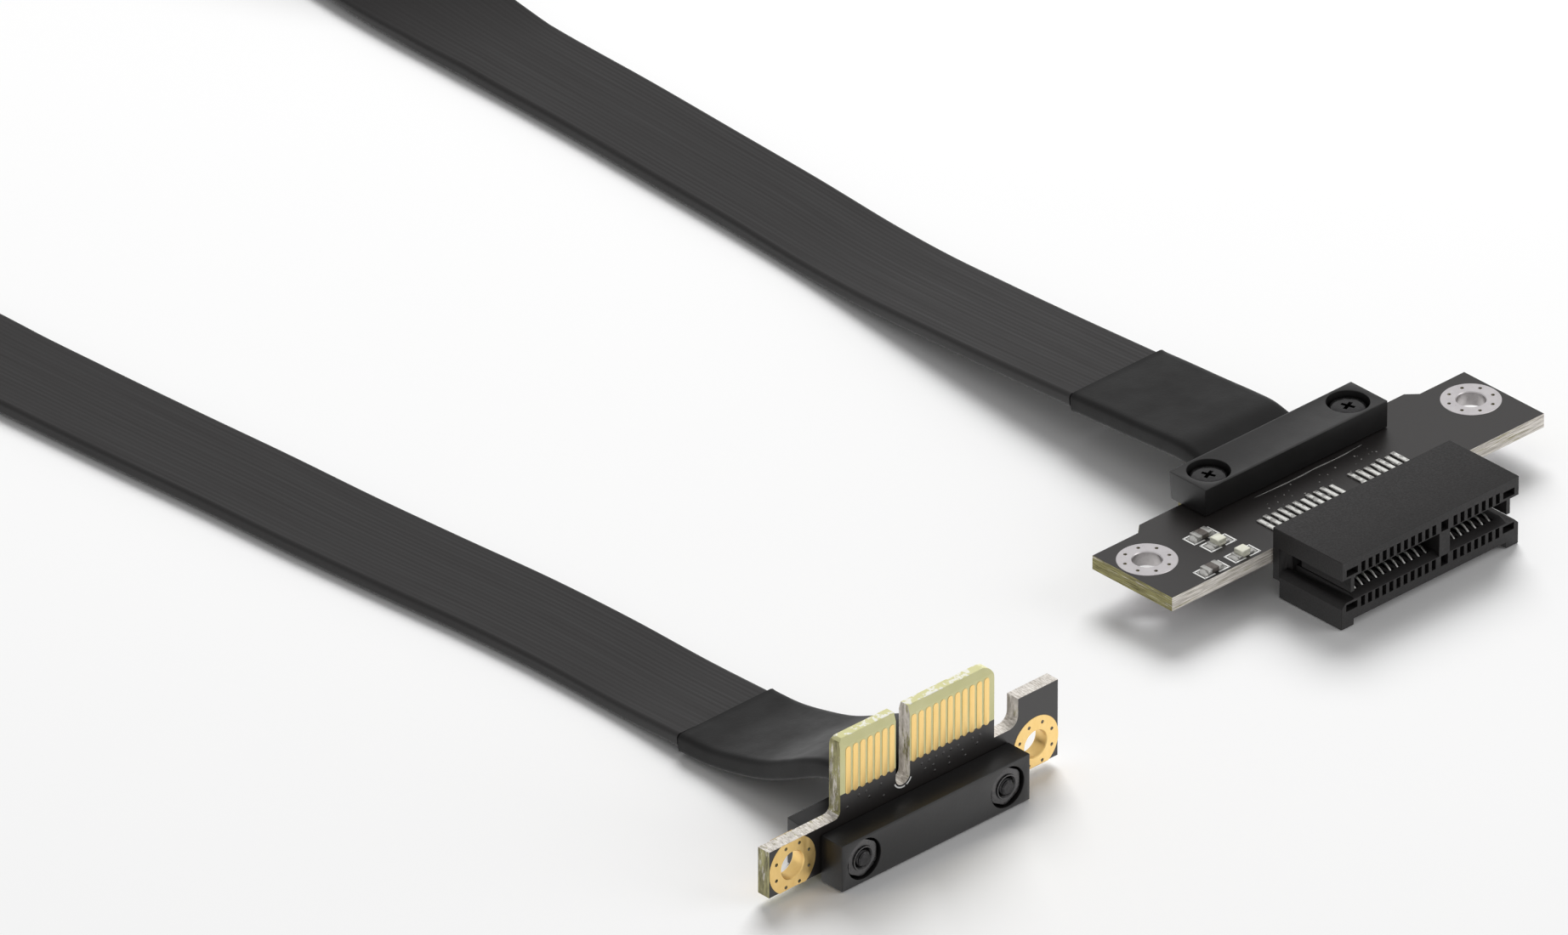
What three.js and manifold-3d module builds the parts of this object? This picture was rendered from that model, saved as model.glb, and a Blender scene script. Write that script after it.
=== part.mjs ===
// Riser cable: a slot on a small board, an edge-connector card, and one flat ribbon between them.
// Millimetres, +Z up. X = 0 is the middle of the slot end, Y = 0 the middle of its clamp and
// Z = 0 the table that everything rests on. The slot end lies flat, the card end stands upright.

import * as THREE from "three";
import { mergeVertices } from "three/addons/utils/BufferGeometryUtils.js";
import Module from "manifold-3d";

const wasm = await Module();
wasm.setup();

// Running clearances between neighbouring pieces
const seatGap = 0.05;
const looseGap = 0.3;

// Both circuit boards
const boardThickness = 1.6;
const mountHoleRadius = 1.65;
const mountHoleInset = 3.4;

// Slot board, seen from above
const slotBoard = {
  length: 52.6,
  underside: 3.5,
  frontToHoles: 7.1,
  holesToWingBack: 4.4,
  holesToMiddleBack: 5.45,
  middleLength: 38.6,
  stepLength: 1.2,
  clampToTongueBack: 1.85,
  holesToClamp: 4.55,
};

// Slot housing and its contacts
const housing = {
  contactToEnd: 3,
  depth: 9.9,
  height: 7.1,
  footHeight: 0.7,
  footWidth: 1.7,
  frontWall: 0.9,
  backWall: 0.9,
  backRebateDepth: 1,
  backRebateHeight: 1.2,
  cornerChamfer: 0.6,
  chamferRise: 0.2,
  footOverlap: 0.5,
  tailExit: 0.7,
};
const slot = {
  height: 1.8,
  depth: 8.3,
  leadIn: 0.45,
  endWall: 0.5,
  endRecessWidth: 1.25,
  endRecessHeight: 2.7,
  endRecessDepth: 9,
  wallGapHeight: 1,
  wallGapBack: 1.3,
  keyWeb: 1.5,
};
const cavity = { width: 0.56, height: 1.16, inner: 1.44, endWidth: 1.6, endInset: 0.63, endHeight: 0.8 };
const keyCavityWidth = 1;
const blindDepth = 1.5;
const contactPitch = 1;
const contactsBeforeKey = 11;
const contactsAfterKey = 7;
const contactsMissingAtKey = 2;

// One contact, seen from the side: its tail is measured back from the housing's back, its spring
// from the housing's front, and its heights from the board's face or from the slot's middle
const contact = {
  width: 0.4,
  thickness: 0.2,
  tailEnd: 4.8,
  tailBend: 1.1,
  shankBend: 0.5,
  shankRise: 0.4,
  wallToShoulder: 1,
  backClearance: 0.3,
  springStart: 4.6,
  bellyPlace: 2.3,
  bellyHalf: 0.6,
  belly: 0.5,
  bellyRise: 0.35,
  tipFromWall: 0.25,
  tipRise: 0.6,
};

// Edge-connector card, measured from the middle of its key notch and from the table
const card = {
  bottom: 0.9,
  leftWingTop: 6.2,
  rightWingTop: 9.7,
  edgeTop: 15.05,
  shortTabLeft: -8.6,
  longTabRight: 12.6,
  gapRight: 15.85,
  gapBottom: 6.6,
  notchWidth: 1.9,
  notchBottom: 6.45,
  tabCorner: 1.5,
  smallCorner: 0.4,
  gapFillet: 1.2,
  wingFillet: 0.8,
  edgeChamferDepth: 0.28,
  edgeChamferHeight: 0.9,
  clampCentre: 1.6,
  holeHeight: 3.45,
  holeSpacing: 33.4,
  holeToLeftEnd: 3.2,
  holeToRightEnd: 3.1,
};
const cardPlace = { x: -72.24, y: -20.5 };

// Clamp bars, the same moulding on both ends. A tongue of the slot board reaches in between its two.
const clamp = { length: 25.8, width: 5.3, thickness: 3.1, screwInset: 3.05, tongueInset: 0.6 };
const channel = { width: 14, depth: 1.3, length: 4.05 };
const recessRadius = 2.25;
const headRecessDepth = 1.8;
const nutRecessDepth = 1.9;

// Clamp screws and nuts
const shankRadius = 0.92;
const shankHoleRadius = 1.25;
const headRadius = 1.95;
const headHeight = 1.25;
const crossWidth = 0.5;
const crossLength = 2.4;
const crossDepth = 0.8;
const nutAcrossFlats = 3.6;
const nutThickness = 1.5;
const nutBoreClearance = 0.08;
const nutSeat = 0.12;
const endBeyondNut = 0.4;

// Chip parts on the slot board: middle of each, from the board's left end and from the hole line
const chip = { length: 2, width: 1.25, height: 0.5, terminal: 0.4, terminalRise: 0.06 };
const lens = { inset: 0.35, rise: 0.45, baseHeight: 0.3, slope: 0.08 };
const chipPlaces = {
  resistor_back: [10.55, -0.44],
  led_back: [10.83, -2.6],
  led_front: [11.1, -5.8],
  resistor_front: [6.7, -5.87],
};

// Ribbon, its two sleeves and the flattened wire ends that they hold
const ribbon = { width: 12.7, thickness: 1.5, corner: 0.45, steps: 66 };
const sleeve = { width: 13.3, thickness: 2.1, corner: 0.6, steps: 26 };
const wires = { width: 12, thickness: 0.7, length: 2.4, overlap: 0.4 };

// Middle line of the slot end's sleeve between its mouth and the clamp: x, distance and rise.
// The first two are measured from the mouth, the rest back from the clamp bar and up from its gap.
const slotSleeveMouth = [
  [0.25, 3.7, 0.35],
  [0.15, 9.2, 0.7],
];
const slotSleeveHump = [
  [0.05, 6.9, 0.65],
  [0, 4.4, 0.75],
  [0, 2.9, 0.45],
  [0, 1, 0],
];

// Middle line of the card end's sleeve: distance and rise, from its mouth and then from the bar's top
const cardSleeveRise = [
  [4, 0.2],
  [7.5, 0.85],
  [12, 2.1],
];
const cardSleeveBend = [
  [6.8, -0.3],
  [3.9, 1.2],
  [1.6, 2.1],
  [-0.2, 2.25],
  [-1.5, 1.7],
];

// Route of the ribbon: x, y and z of its middle, and how far it is rolled on its edge in degrees
const ribbonRoute = [
  [0.3, 23.8, 4.5, 0],
  [0.6, 32, 3.8, 0],
  [1.1, 40, 3.0, 0],
  [1.7, 48, 2.2, 0],
  [2.4, 57, 1.35, 0],
  [3.2, 66, 0.85, 0],
  [4.1, 78, 0.8, 0],
  [4.7, 90, 0.8, 0],
  [5.4, 104, 0.8, 0],
  [5.8, 120, 0.92, 0],
  [5.9, 130, 1.75, 8],
  [5.9, 139, 3.3, 24],
  [5.9, 148, 4.75, 41],
  [5.9, 157, 5.8, 58],
  [5.9, 166, 6.35, 75],
  [5.9, 176, 6.4, 90],
  [2.8, 191.5, 6.4, 90],
  [-6, 204.7, 6.4, 90],
  [-19.2, 213.5, 6.4, 90],
  [-34.7, 216.6, 6.4, 90],
  [-50.2, 213.5, 6.4, 90],
  [-63.4, 204.7, 6.4, 90],
  [-72.2, 191.5, 6.4, 90],
  [-75.3, 176, 6.4, 90],
  [-75.3, 165, 6.35, 76],
  [-75.3, 155, 5.8, 58],
  [-75.3, 145, 4.65, 40],
  [-75.3, 135, 3.1, 22],
  [-75.3, 125, 1.65, 7],
  [-75.3, 113, 0.92, 0],
  [-74.7, 100, 0.8, 0],
  [-73.9, 86, 0.8, 0],
  [-73.1, 74, 0.8, 0],
  [-72.5, 62, 0.8, 0],
  [-71.6, 50, 0.8, 0],
  [-70.6, 38, 0.8, 0],
  [-70.2, 27, 0.8, 0],
  [-70.3, 16, 0.85, 0],
  [-70.6, 6.8, 1.35, 0],
];

// Derived sizes and places
const screwSpacing = clamp.length - 2 * clamp.screwInset;
const tongueLength = clamp.length - 2 * clamp.tongueInset;
const cardLeft = card.clampCentre - card.holeSpacing / 2 - card.holeToLeftEnd;
const cardRight = card.clampCentre + card.holeSpacing / 2 + card.holeToRightEnd;
const boardTop = slotBoard.underside + boardThickness;
const slotMiddle = slotBoard.underside + boardThickness / 2;
const holeLine = -slotBoard.holesToClamp;
const boardFront = holeLine - slotBoard.frontToHoles;
const housingBack = boardFront - looseGap;
const housingFront = housingBack - housing.depth;
const housingTop = housing.footHeight + housing.height;
const cavityOuter = cavity.inner + cavity.height;
const contactSpan = (contactsBeforeKey + contactsMissingAtKey + contactsAfterKey - 1) * contactPitch;
const keyCentre = (contactsBeforeKey + (contactsMissingAtKey - 1) / 2) * contactPitch - contactSpan / 2;
const housingHalf = contactSpan / 2 + housing.contactToEnd;
const slotHalfLength = housingHalf - slot.endRecessWidth - slot.endWall;
const tailLevel = boardThickness / 2;

const boardLook = { color: 0x252222, roughness: 0.42, metalness: 0 };
const mouldingLook = { color: 0x1f1d1d, roughness: 0.5, metalness: 0 };
const steelLook = { color: 0x151515, roughness: 0.35, metalness: 0.8 };
const contactLook = { color: 0xd9d9d6, roughness: 0.25, metalness: 1 };
const ribbonLook = { color: 0x202020, roughness: 0.55, metalness: 0 };
const chipLook = { color: 0x4a4642, roughness: 0.5, metalness: 0 };
const lensLook = { color: 0xd8d6c8, roughness: 0.3, metalness: 0 };

// How far a cutter reaches past the face that it opens
const beyond = 1;

// Turns a closed geometry into a solid that can be cut and joined.
function solidOf(geometry) {
  const plain = geometry.clone();
  plain.deleteAttribute("normal");
  plain.deleteAttribute("uv");
  const merged = mergeVertices(plain, 1e-4);
  const corners = merged.index.array;
  const kept = [];
  for (let i = 0; i < corners.length; i += 3) {
    const [a, b, c] = [corners[i], corners[i + 1], corners[i + 2]];
    if (a !== b && b !== c && c !== a) kept.push(a, b, c);
  }
  return new wasm.Manifold(
    new wasm.Mesh({
      numProp: 3,
      vertProperties: Float32Array.from(merged.attributes.position.array),
      triVerts: Uint32Array.from(kept),
    }),
  );
}

function geometryOf(solid) {
  const mesh = solid.getMesh();
  const geometry = new THREE.BufferGeometry();
  geometry.setAttribute("position", new THREE.BufferAttribute(mesh.vertProperties, 3));
  geometry.setIndex(new THREE.BufferAttribute(mesh.triVerts, 1));
  geometry.computeVertexNormals();
  return geometry;
}

function cutAll(body, cutters) {
  return cutters.reduce((solid, cutter) => solid.subtract(solidOf(cutter)), solidOf(body));
}

// A box from its lowest to its highest corner.
function boxBetween([x0, y0, z0], [x1, y1, z1]) {
  const geometry = new THREE.BoxGeometry(x1 - x0, y1 - y0, z1 - z0);
  return geometry.translate((x0 + x1) / 2, (y0 + y1) / 2, (z0 + z1) / 2);
}

// A cylinder standing on z0.
function cylinderUp(radius, x, y, z0, z1, sides = 20) {
  const geometry = new THREE.CylinderGeometry(radius, radius, z1 - z0, sides);
  return geometry.rotateX(Math.PI / 2).translate(x, y, (z0 + z1) / 2);
}

// A side profile of [y, z] corners, drawn out along X from x0 to x1.
function profileAlongX(corners, x0, x1) {
  const shape = new THREE.Shape(corners.map(([y, z]) => new THREE.Vector2(y, z)));
  const geometry = new THREE.ExtrudeGeometry(shape, { depth: x1 - x0, bevelEnabled: false });
  const yToX = new THREE.Matrix4().makeBasis(
    new THREE.Vector3(0, 1, 0),
    new THREE.Vector3(0, 0, 1),
    new THREE.Vector3(1, 0, 0),
  );
  return geometry.applyMatrix4(yToX).translate(x0, 0, 0);
}

// A front view in x and z, drawn out along Y from 0 to depth.
function frontShapeAlongY(shape, depth, curveSegments) {
  const geometry = new THREE.ExtrudeGeometry(shape, { depth, bevelEnabled: false, curveSegments });
  return geometry.rotateX(Math.PI / 2).translate(0, depth, 0);
}

function circlePath(x, y, radius) {
  return new THREE.Path().absarc(x, y, radius, 0, 2 * Math.PI, true);
}

// The outline of a bent strip that follows a centre line at a constant thickness.
function stripCorners(line, thickness) {
  const sideAt = (i) => {
    const before = line[Math.max(i - 1, 0)];
    const after = line[Math.min(i + 1, line.length - 1)];
    const length = Math.hypot(after[0] - before[0], after[1] - before[1]);
    return [-(after[1] - before[1]) / length, (after[0] - before[0]) / length];
  };
  const offset = (sign) =>
    line.map(([y, z], i) => {
      const [sideY, sideZ] = sideAt(i);
      return [y + (sign * sideY * thickness) / 2, z + (sign * sideZ * thickness) / 2];
    });
  return [...offset(1), ...offset(-1).reverse()];
}

// A route whose frame stays level, rolled about the route by an angle given at each point.
class FlatRoute extends THREE.CatmullRomCurve3 {
  constructor(points, level) {
    super(points.map(([x, y, z]) => new THREE.Vector3(x, y, z)));
    this.rolls = points.map((point) => THREE.MathUtils.degToRad(point[3] ?? 0));
    this.level = level;
  }

  rollAt(u) {
    const place = this.getUtoTmapping(u) * (this.rolls.length - 1);
    const index = Math.min(Math.floor(place), this.rolls.length - 2);
    return THREE.MathUtils.lerp(this.rolls[index], this.rolls[index + 1], place - index);
  }

  computeFrenetFrames(segments) {
    const frames = { tangents: [], normals: [], binormals: [] };
    for (let i = 0; i <= segments; i += 1) {
      const along = this.getTangentAt(i / segments);
      const side = this.level ?? new THREE.Vector3().crossVectors(along, new THREE.Vector3(0, 0, 1));
      const across = side.clone().normalize().applyAxisAngle(along, -this.rollAt(i / segments));
      frames.tangents.push(along);
      frames.normals.push(across);
      frames.binormals.push(new THREE.Vector3().crossVectors(along, across));
    }
    return frames;
  }
}

// A flat section with rounded corners, drawn along a route.
function flatTube({ width, thickness, corner, steps }, points, level) {
  const [half, rise] = [width / 2 - corner, thickness / 2 - corner];
  const section = new THREE.Shape();
  section.absarc(half, -rise, corner, -Math.PI / 2, 0, false);
  section.absarc(half, rise, corner, 0, Math.PI / 2, false);
  section.absarc(-half, rise, corner, Math.PI / 2, Math.PI, false);
  section.absarc(-half, -rise, corner, Math.PI, (3 * Math.PI) / 2, false);
  const extrudePath = new FlatRoute(points, level);
  return new THREE.ExtrudeGeometry(section, { steps, extrudePath, curveSegments: 1 });
}

function slotBoardGeometry() {
  const { length, middleLength, stepLength, frontToHoles, holesToWingBack, holesToMiddleBack } = slotBoard;
  const tongueBack = slotBoard.holesToClamp + slotBoard.clampToTongueBack;
  const rightHalf = [
    [length / 2, -frontToHoles],
    [length / 2, holesToWingBack],
    [middleLength / 2 + stepLength / 2, holesToWingBack],
    [middleLength / 2 - stepLength / 2, holesToMiddleBack],
    [tongueLength / 2, holesToMiddleBack],
    [tongueLength / 2, tongueBack],
  ];
  const leftHalf = rightHalf.map(([x, y]) => [-x, y]).reverse();
  const shape = new THREE.Shape([...rightHalf, ...leftHalf].map(([x, y]) => new THREE.Vector2(x, y)));
  for (const side of [-1, 1]) {
    shape.holes.push(circlePath(side * (length / 2 - mountHoleInset), 0, mountHoleRadius));
    shape.holes.push(circlePath((side * screwSpacing) / 2, slotBoard.holesToClamp, shankHoleRadius));
  }
  const geometry = new THREE.ExtrudeGeometry(shape, {
    depth: boardThickness,
    bevelEnabled: false,
    curveSegments: 10,
  });
  return geometry.translate(0, holeLine, slotBoard.underside);
}

// X of every contact, from the left.
function contactColumns() {
  const afterShift = contactsBeforeKey + contactsMissingAtKey;
  const columnAt = (place) => place * contactPitch - contactSpan / 2;
  const before = Array.from({ length: contactsBeforeKey }, (_, i) => columnAt(i));
  const after = Array.from({ length: contactsAfterKey }, (_, i) => columnAt(afterShift + i));
  return [...before, ...after];
}

function housingGeometry() {
  const half = housingHalf;
  const front = housingFront;
  const back = housingBack;
  const body = boxBetween([-half, front, housing.footHeight], [half, back, housingTop]);
  const cutters = [];

  // The slot itself, with its lead-in, in two stretches beside the key web
  const mouthHalf = slot.height / 2 + slot.leadIn;
  const mouth = [
    [front - beyond, mouthHalf + slot.leadIn * (beyond / housing.frontWall)],
    [front + housing.frontWall, slot.height / 2],
    [front + slot.depth, slot.height / 2],
    [front + slot.depth, -slot.height / 2],
    [front + housing.frontWall, -slot.height / 2],
    [front - beyond, -mouthHalf - slot.leadIn * (beyond / housing.frontWall)],
  ].map(([y, v]) => [y, slotMiddle + v]);
  const webLeft = keyCentre - slot.keyWeb / 2;
  const webRight = keyCentre + slot.keyWeb / 2;
  cutters.push(profileAlongX(mouth, -slotHalfLength, webLeft));
  cutters.push(profileAlongX(mouth, webRight, slotHalfLength));

  for (const side of [-1, 1]) {
    // Open recess at each end of the slot, behind a thin wall
    const inner = half - slot.endRecessWidth;
    const [x0, x1] = side < 0 ? [-half - beyond, -inner] : [inner, half + beyond];
    const recessBottom = slotMiddle - slot.endRecessHeight / 2;
    const recessTop = slotMiddle + slot.endRecessHeight / 2;
    const recessBack = front + slot.endRecessDepth;
    cutters.push(boxBetween([x0, front - beyond, recessBottom], [x1, recessBack, recessTop]));

    // The wall between recess and slot hangs free below and at its back
    const [w0, w1] = side < 0 ? [-inner - looseGap, -slotHalfLength] : [slotHalfLength, inner + looseGap];
    const gapTop = recessBottom + slot.wallGapHeight;
    const gapFront = front + slot.depth - slot.wallGapBack;
    cutters.push(boxBetween([w0, front - beyond, recessBottom], [w1, front + slot.depth, gapTop]));
    cutters.push(boxBetween([w0, gapFront, recessBottom], [w1, front + slot.depth, recessTop]));

    // Chamfer where the lower body meets the end recess
    const { cornerChamfer, chamferRise } = housing;
    const corner = new THREE.Shape();
    corner.moveTo(side * (half + beyond), recessBottom + chamferRise);
    corner.lineTo(side * (half - cornerChamfer - chamferRise), recessBottom + chamferRise);
    corner.lineTo(side * (half + beyond), recessBottom - cornerChamfer - beyond);
    corner.closePath();
    const chamfer = frontShapeAlongY(corner, slot.endRecessDepth + beyond, 1);
    cutters.push(chamfer.translate(0, front - beyond, 0));

    for (const row of [-1, 1]) {
      // Blind pockets beside the contact rows
      const low = row > 0 ? slotMiddle + cavity.inner : slotMiddle - cavityOuter;
      const endLow = low + (cavity.height - cavity.endHeight) / 2;
      const endHigh = endLow + cavity.endHeight;
      const outer = half - cavity.endInset;
      const [p0, p1] = side < 0 ? [-outer, cavity.endWidth - outer] : [outer - cavity.endWidth, outer];
      cutters.push(boxBetween([p0, front - beyond, endLow], [p1, front + blindDepth, endHigh]));
    }
  }

  for (const row of [-1, 1]) {
    const low = row > 0 ? slotMiddle + cavity.inner : slotMiddle - cavityOuter;
    const [k0, k1] = [keyCentre - keyCavityWidth / 2, keyCentre + keyCavityWidth / 2];
    cutters.push(boxBetween([k0, front - beyond, low], [k1, front + blindDepth, low + cavity.height]));

    // One chamber for each contact, open at the front, into the slot and at the back for its tail
    const tailTop = tailLevel + housing.tailExit;
    const chamber = [
      [front - beyond, cavity.inner],
      [front - beyond, cavityOuter],
      [back - housing.backWall, cavityOuter],
      [back - housing.backWall, tailTop],
      [back + beyond, tailTop],
      [back + beyond, tailLevel],
      [front + housing.frontWall, tailLevel],
      [front + housing.frontWall, cavity.inner],
    ].map(([y, v]) => [y, slotMiddle + row * v]);
    for (const x of contactColumns()) {
      cutters.push(profileAlongX(chamber, x - cavity.width / 2, x + cavity.width / 2));
    }
  }

  // Rebate along the bottom of the back
  const rebateTop = housing.footHeight + housing.backRebateHeight;
  const rebateFront = back - housing.backRebateDepth;
  cutters.push(boxBetween([-half - beyond, rebateFront, -beyond], [half + beyond, back + beyond, rebateTop]));

  let solid = cutAll(body, cutters);
  for (const side of [-1, 1]) {
    const [x0, x1] = side < 0 ? [-half, housing.footWidth - half] : [half - housing.footWidth, half];
    const footTop = housing.footHeight + housing.footOverlap;
    const foot = boxBetween([x0, front, 0], [x1, rebateFront, footTop]);
    solid = solid.add(solidOf(foot));
  }
  return geometryOf(solid);
}

// A spring contact: tail on its pad, shank through the back wall, belly in the slot, tip behind the mouth.
function contactGeometry(x, row) {
  const half = contact.thickness / 2;
  const shank = tailLevel + contact.shankRise;
  const spring = cavity.inner + contact.backClearance;
  const chamberBack = housingBack - housing.backWall;
  const bellyAt = housingFront + contact.bellyPlace;
  const line = [
    [housingBack + contact.tailEnd, tailLevel + half],
    [housingBack + contact.tailBend, tailLevel + half],
    [housingBack + contact.shankBend, shank],
    [chamberBack - contact.backClearance, shank],
    [chamberBack - contact.wallToShoulder, spring],
    [housingFront + contact.springStart, spring],
    [bellyAt + contact.bellyHalf, contact.belly + contact.bellyRise],
    [bellyAt, contact.belly],
    [bellyAt - contact.bellyHalf, contact.belly + contact.bellyRise / 2],
    [housingFront + housing.frontWall + contact.tipFromWall, contact.belly + contact.tipRise],
  ];
  const corners = stripCorners(line, contact.thickness).map(([y, v]) => [y, slotMiddle + row * v]);
  return profileAlongX(corners, x - contact.width / 2, x + contact.width / 2);
}

// A clamp bar lying on its inner face. The recess is for a screw head or for a nut.
function clampGeometry(thickness, recessDepth, hasChannel) {
  const half = clamp.length / 2;
  const body = boxBetween([-half, -clamp.width / 2, 0], [half, clamp.width / 2, thickness]);
  const cutters = [];
  for (const side of [-1, 1]) {
    const x = (side * screwSpacing) / 2;
    cutters.push(cylinderUp(shankHoleRadius, x, 0, -beyond, thickness + beyond));
    cutters.push(cylinderUp(recessRadius, x, 0, thickness - recessDepth, thickness + beyond));
  }
  if (hasChannel) {
    const start = clamp.width / 2 - channel.length;
    const [c0, c1] = [-channel.width / 2, channel.width / 2];
    cutters.push(boxBetween([c0, start, -beyond], [c1, clamp.width / 2 + beyond, channel.depth]));
  }
  return geometryOf(cutAll(body, cutters));
}

// A screw pointing down, with the underside of its head at 0 and a cross recess in its top.
function screwGeometry(shankLength) {
  const tipChamfer = 0.25;
  const crown = 0.2;
  const profile = [
    [0, -shankLength],
    [shankRadius - tipChamfer, -shankLength],
    [shankRadius, tipChamfer - shankLength],
    [shankRadius, 0],
    [headRadius, 0],
    [headRadius, headHeight - crown],
    [headRadius - crown, headHeight],
    [0, headHeight],
  ].map(([r, z]) => new THREE.Vector2(r, z));
  const body = new THREE.LatheGeometry(profile, 18).rotateX(Math.PI / 2);
  const [reach, half] = [crossLength / 2, crossWidth / 2];
  const [low, high] = [headHeight - crossDepth, headHeight + beyond];
  return geometryOf(
    cutAll(body, [
      boxBetween([-reach, -half, low], [reach, half, high]),
      boxBetween([-half, -reach, low], [half, reach, high]),
    ]),
  );
}

function nutGeometry() {
  const corner = nutAcrossFlats / Math.sqrt(3);
  const corners = Array.from({ length: 6 }, (_, i) => {
    const angle = (i * Math.PI) / 3;
    return new THREE.Vector2(corner * Math.cos(angle), corner * Math.sin(angle));
  });
  const hexagon = new THREE.Shape(corners);
  hexagon.holes.push(circlePath(0, 0, shankRadius + nutBoreClearance));
  return new THREE.ExtrudeGeometry(hexagon, { depth: nutThickness, bevelEnabled: false, curveSegments: 9 });
}

// Chip resistor: a flat body between two terminals that stand slightly proud.
function resistorGeometry() {
  const { length, width, height, terminal, terminalRise } = chip;
  const high = height + terminalRise;
  const inner = length / 2 - terminal;
  const shape = new THREE.Shape(
    [
      [-length / 2, 0],
      [length / 2, 0],
      [length / 2, high],
      [inner, high],
      [inner, height],
      [-inner, height],
      [-inner, high],
      [-length / 2, high],
    ].map(([x, z]) => new THREE.Vector2(x, z)),
  );
  return frontShapeAlongY(shape, width, 1).translate(0, -width / 2, 0);
}

// Chip diode: a thin base with a lens block in its middle.
function ledGeometry() {
  const { length, width } = chip;
  const inner = length / 2 - lens.inset;
  const high = lens.baseHeight + lens.rise;
  const shape = new THREE.Shape(
    [
      [-length / 2, 0],
      [length / 2, 0],
      [length / 2, lens.baseHeight],
      [inner, lens.baseHeight],
      [inner - lens.slope, high],
      [lens.slope - inner, high],
      [-inner, lens.baseHeight],
      [-length / 2, lens.baseHeight],
    ].map(([x, z]) => new THREE.Vector2(x, z)),
  );
  return frontShapeAlongY(shape, width, 1).translate(0, -width / 2, 0);
}

function cardBoardGeometry() {
  const c = card;
  const notch = c.notchWidth / 2;
  const shape = new THREE.Shape();
  shape.moveTo(cardLeft, c.bottom);
  shape.lineTo(cardRight, c.bottom);
  shape.lineTo(cardRight, c.rightWingTop);
  shape.lineTo(c.gapRight, c.rightWingTop);
  shape.lineTo(c.gapRight, c.gapBottom + c.gapFillet);
  shape.absarc(c.gapRight - c.gapFillet, c.gapBottom + c.gapFillet, c.gapFillet, 0, -Math.PI / 2, true);
  shape.lineTo(c.longTabRight, c.gapBottom);
  shape.lineTo(c.longTabRight, c.edgeTop - c.tabCorner);
  shape.absarc(c.longTabRight - c.tabCorner, c.edgeTop - c.tabCorner, c.tabCorner, 0, Math.PI / 2, false);
  shape.lineTo(notch, c.edgeTop);
  shape.lineTo(notch, c.notchBottom + notch);
  shape.absarc(0, c.notchBottom + notch, notch, 0, -Math.PI, true);
  shape.lineTo(-notch, c.edgeTop);
  shape.lineTo(c.shortTabLeft + c.smallCorner, c.edgeTop);
  shape.lineTo(c.shortTabLeft, c.edgeTop - c.smallCorner);
  shape.lineTo(c.shortTabLeft, c.leftWingTop + c.wingFillet);
  const filletX = c.shortTabLeft - c.wingFillet;
  shape.absarc(filletX, c.leftWingTop + c.wingFillet, c.wingFillet, 0, -Math.PI / 2, true);
  shape.lineTo(cardLeft, c.leftWingTop);
  shape.closePath();
  for (const side of [-1, 1]) {
    shape.holes.push(circlePath(c.clampCentre + (side * c.holeSpacing) / 2, c.holeHeight, mountHoleRadius));
    const screwX = c.clampCentre + (side * screwSpacing) / 2;
    shape.holes.push(circlePath(screwX, clamp.width / 2, shankHoleRadius));
  }
  const body = frontShapeAlongY(shape, boardThickness, 6);

  // Both long edges of the tabs are bevelled so that they find the slot
  const [top, low] = [c.edgeTop, c.edgeTop - c.edgeChamferHeight];
  const bevel = (face, inward) => [
    [face - inward, low],
    [face, low],
    [face + inward * c.edgeChamferDepth, top],
    [face + inward * c.edgeChamferDepth, top + beyond],
    [face - inward, top + beyond],
  ];
  const [x0, x1] = [c.shortTabLeft - beyond, c.longTabRight + beyond];
  return geometryOf(
    cutAll(body, [profileAlongX(bevel(0, 1), x0, x1), profileAlongX(bevel(boardThickness, -1), x0, x1)]),
  );
}

// The slot end's sleeve: out between the clamp bars, over a soft hump and down towards the table.
function slotSleeveGeometry() {
  const [x, y, z] = ribbonRoute[0];
  const mouth = y - looseGap;
  const clampBack = clamp.width / 2;
  const start = slotBoard.clampToTongueBack + looseGap;
  const level = boardTop - 2 * seatGap;
  const route = [
    [x, mouth, z + seatGap],
    ...slotSleeveMouth.map(([across, back, rise]) => [across, mouth - back, z + rise]),
    ...slotSleeveHump.map(([across, back, rise]) => [across, clampBack + back, level + rise]),
    [0, start, level],
  ];
  const tube = flatTube(sleeve, route, new THREE.Vector3(1, 0, 0));
  const wireBottom = boardTop + looseGap;
  const wireEnd = boxBetween(
    [-wires.width / 2, start - wires.length, wireBottom],
    [wires.width / 2, start + wires.overlap, wireBottom + wires.thickness],
  );
  return geometryOf(solidOf(tube).add(solidOf(wireEnd)));
}

// The card end's sleeve: up from the table, over the rear clamp bar and down behind the board.
function cardSleeveGeometry() {
  const [, y, z] = ribbonRoute[ribbonRoute.length - 1];
  const mouth = y - cardPlace.y - looseGap;
  const barBack = boardThickness + seatGap + clamp.thickness;
  const barTop = clamp.width;
  const x = card.clampCentre;
  const endY = boardThickness + looseGap + sleeve.thickness / 2;
  const route = [
    [x, mouth, z],
    ...cardSleeveRise.map(([back, rise]) => [x, mouth - back, z + rise]),
    ...cardSleeveBend.map(([back, rise]) => [x, barBack + back, barTop + rise]),
    [x, endY, barTop + 2 * looseGap],
  ];
  const tube = flatTube(sleeve, route, new THREE.Vector3(1, 0, 0));
  const wireFace = boardThickness + looseGap;
  const wireEnd = boxBetween(
    [x - wires.width / 2, wireFace, barTop - wires.length],
    [x + wires.width / 2, wireFace + wires.thickness, barTop + beyond],
  );
  return geometryOf(solidOf(tube).add(solidOf(wireEnd)));
}

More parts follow.
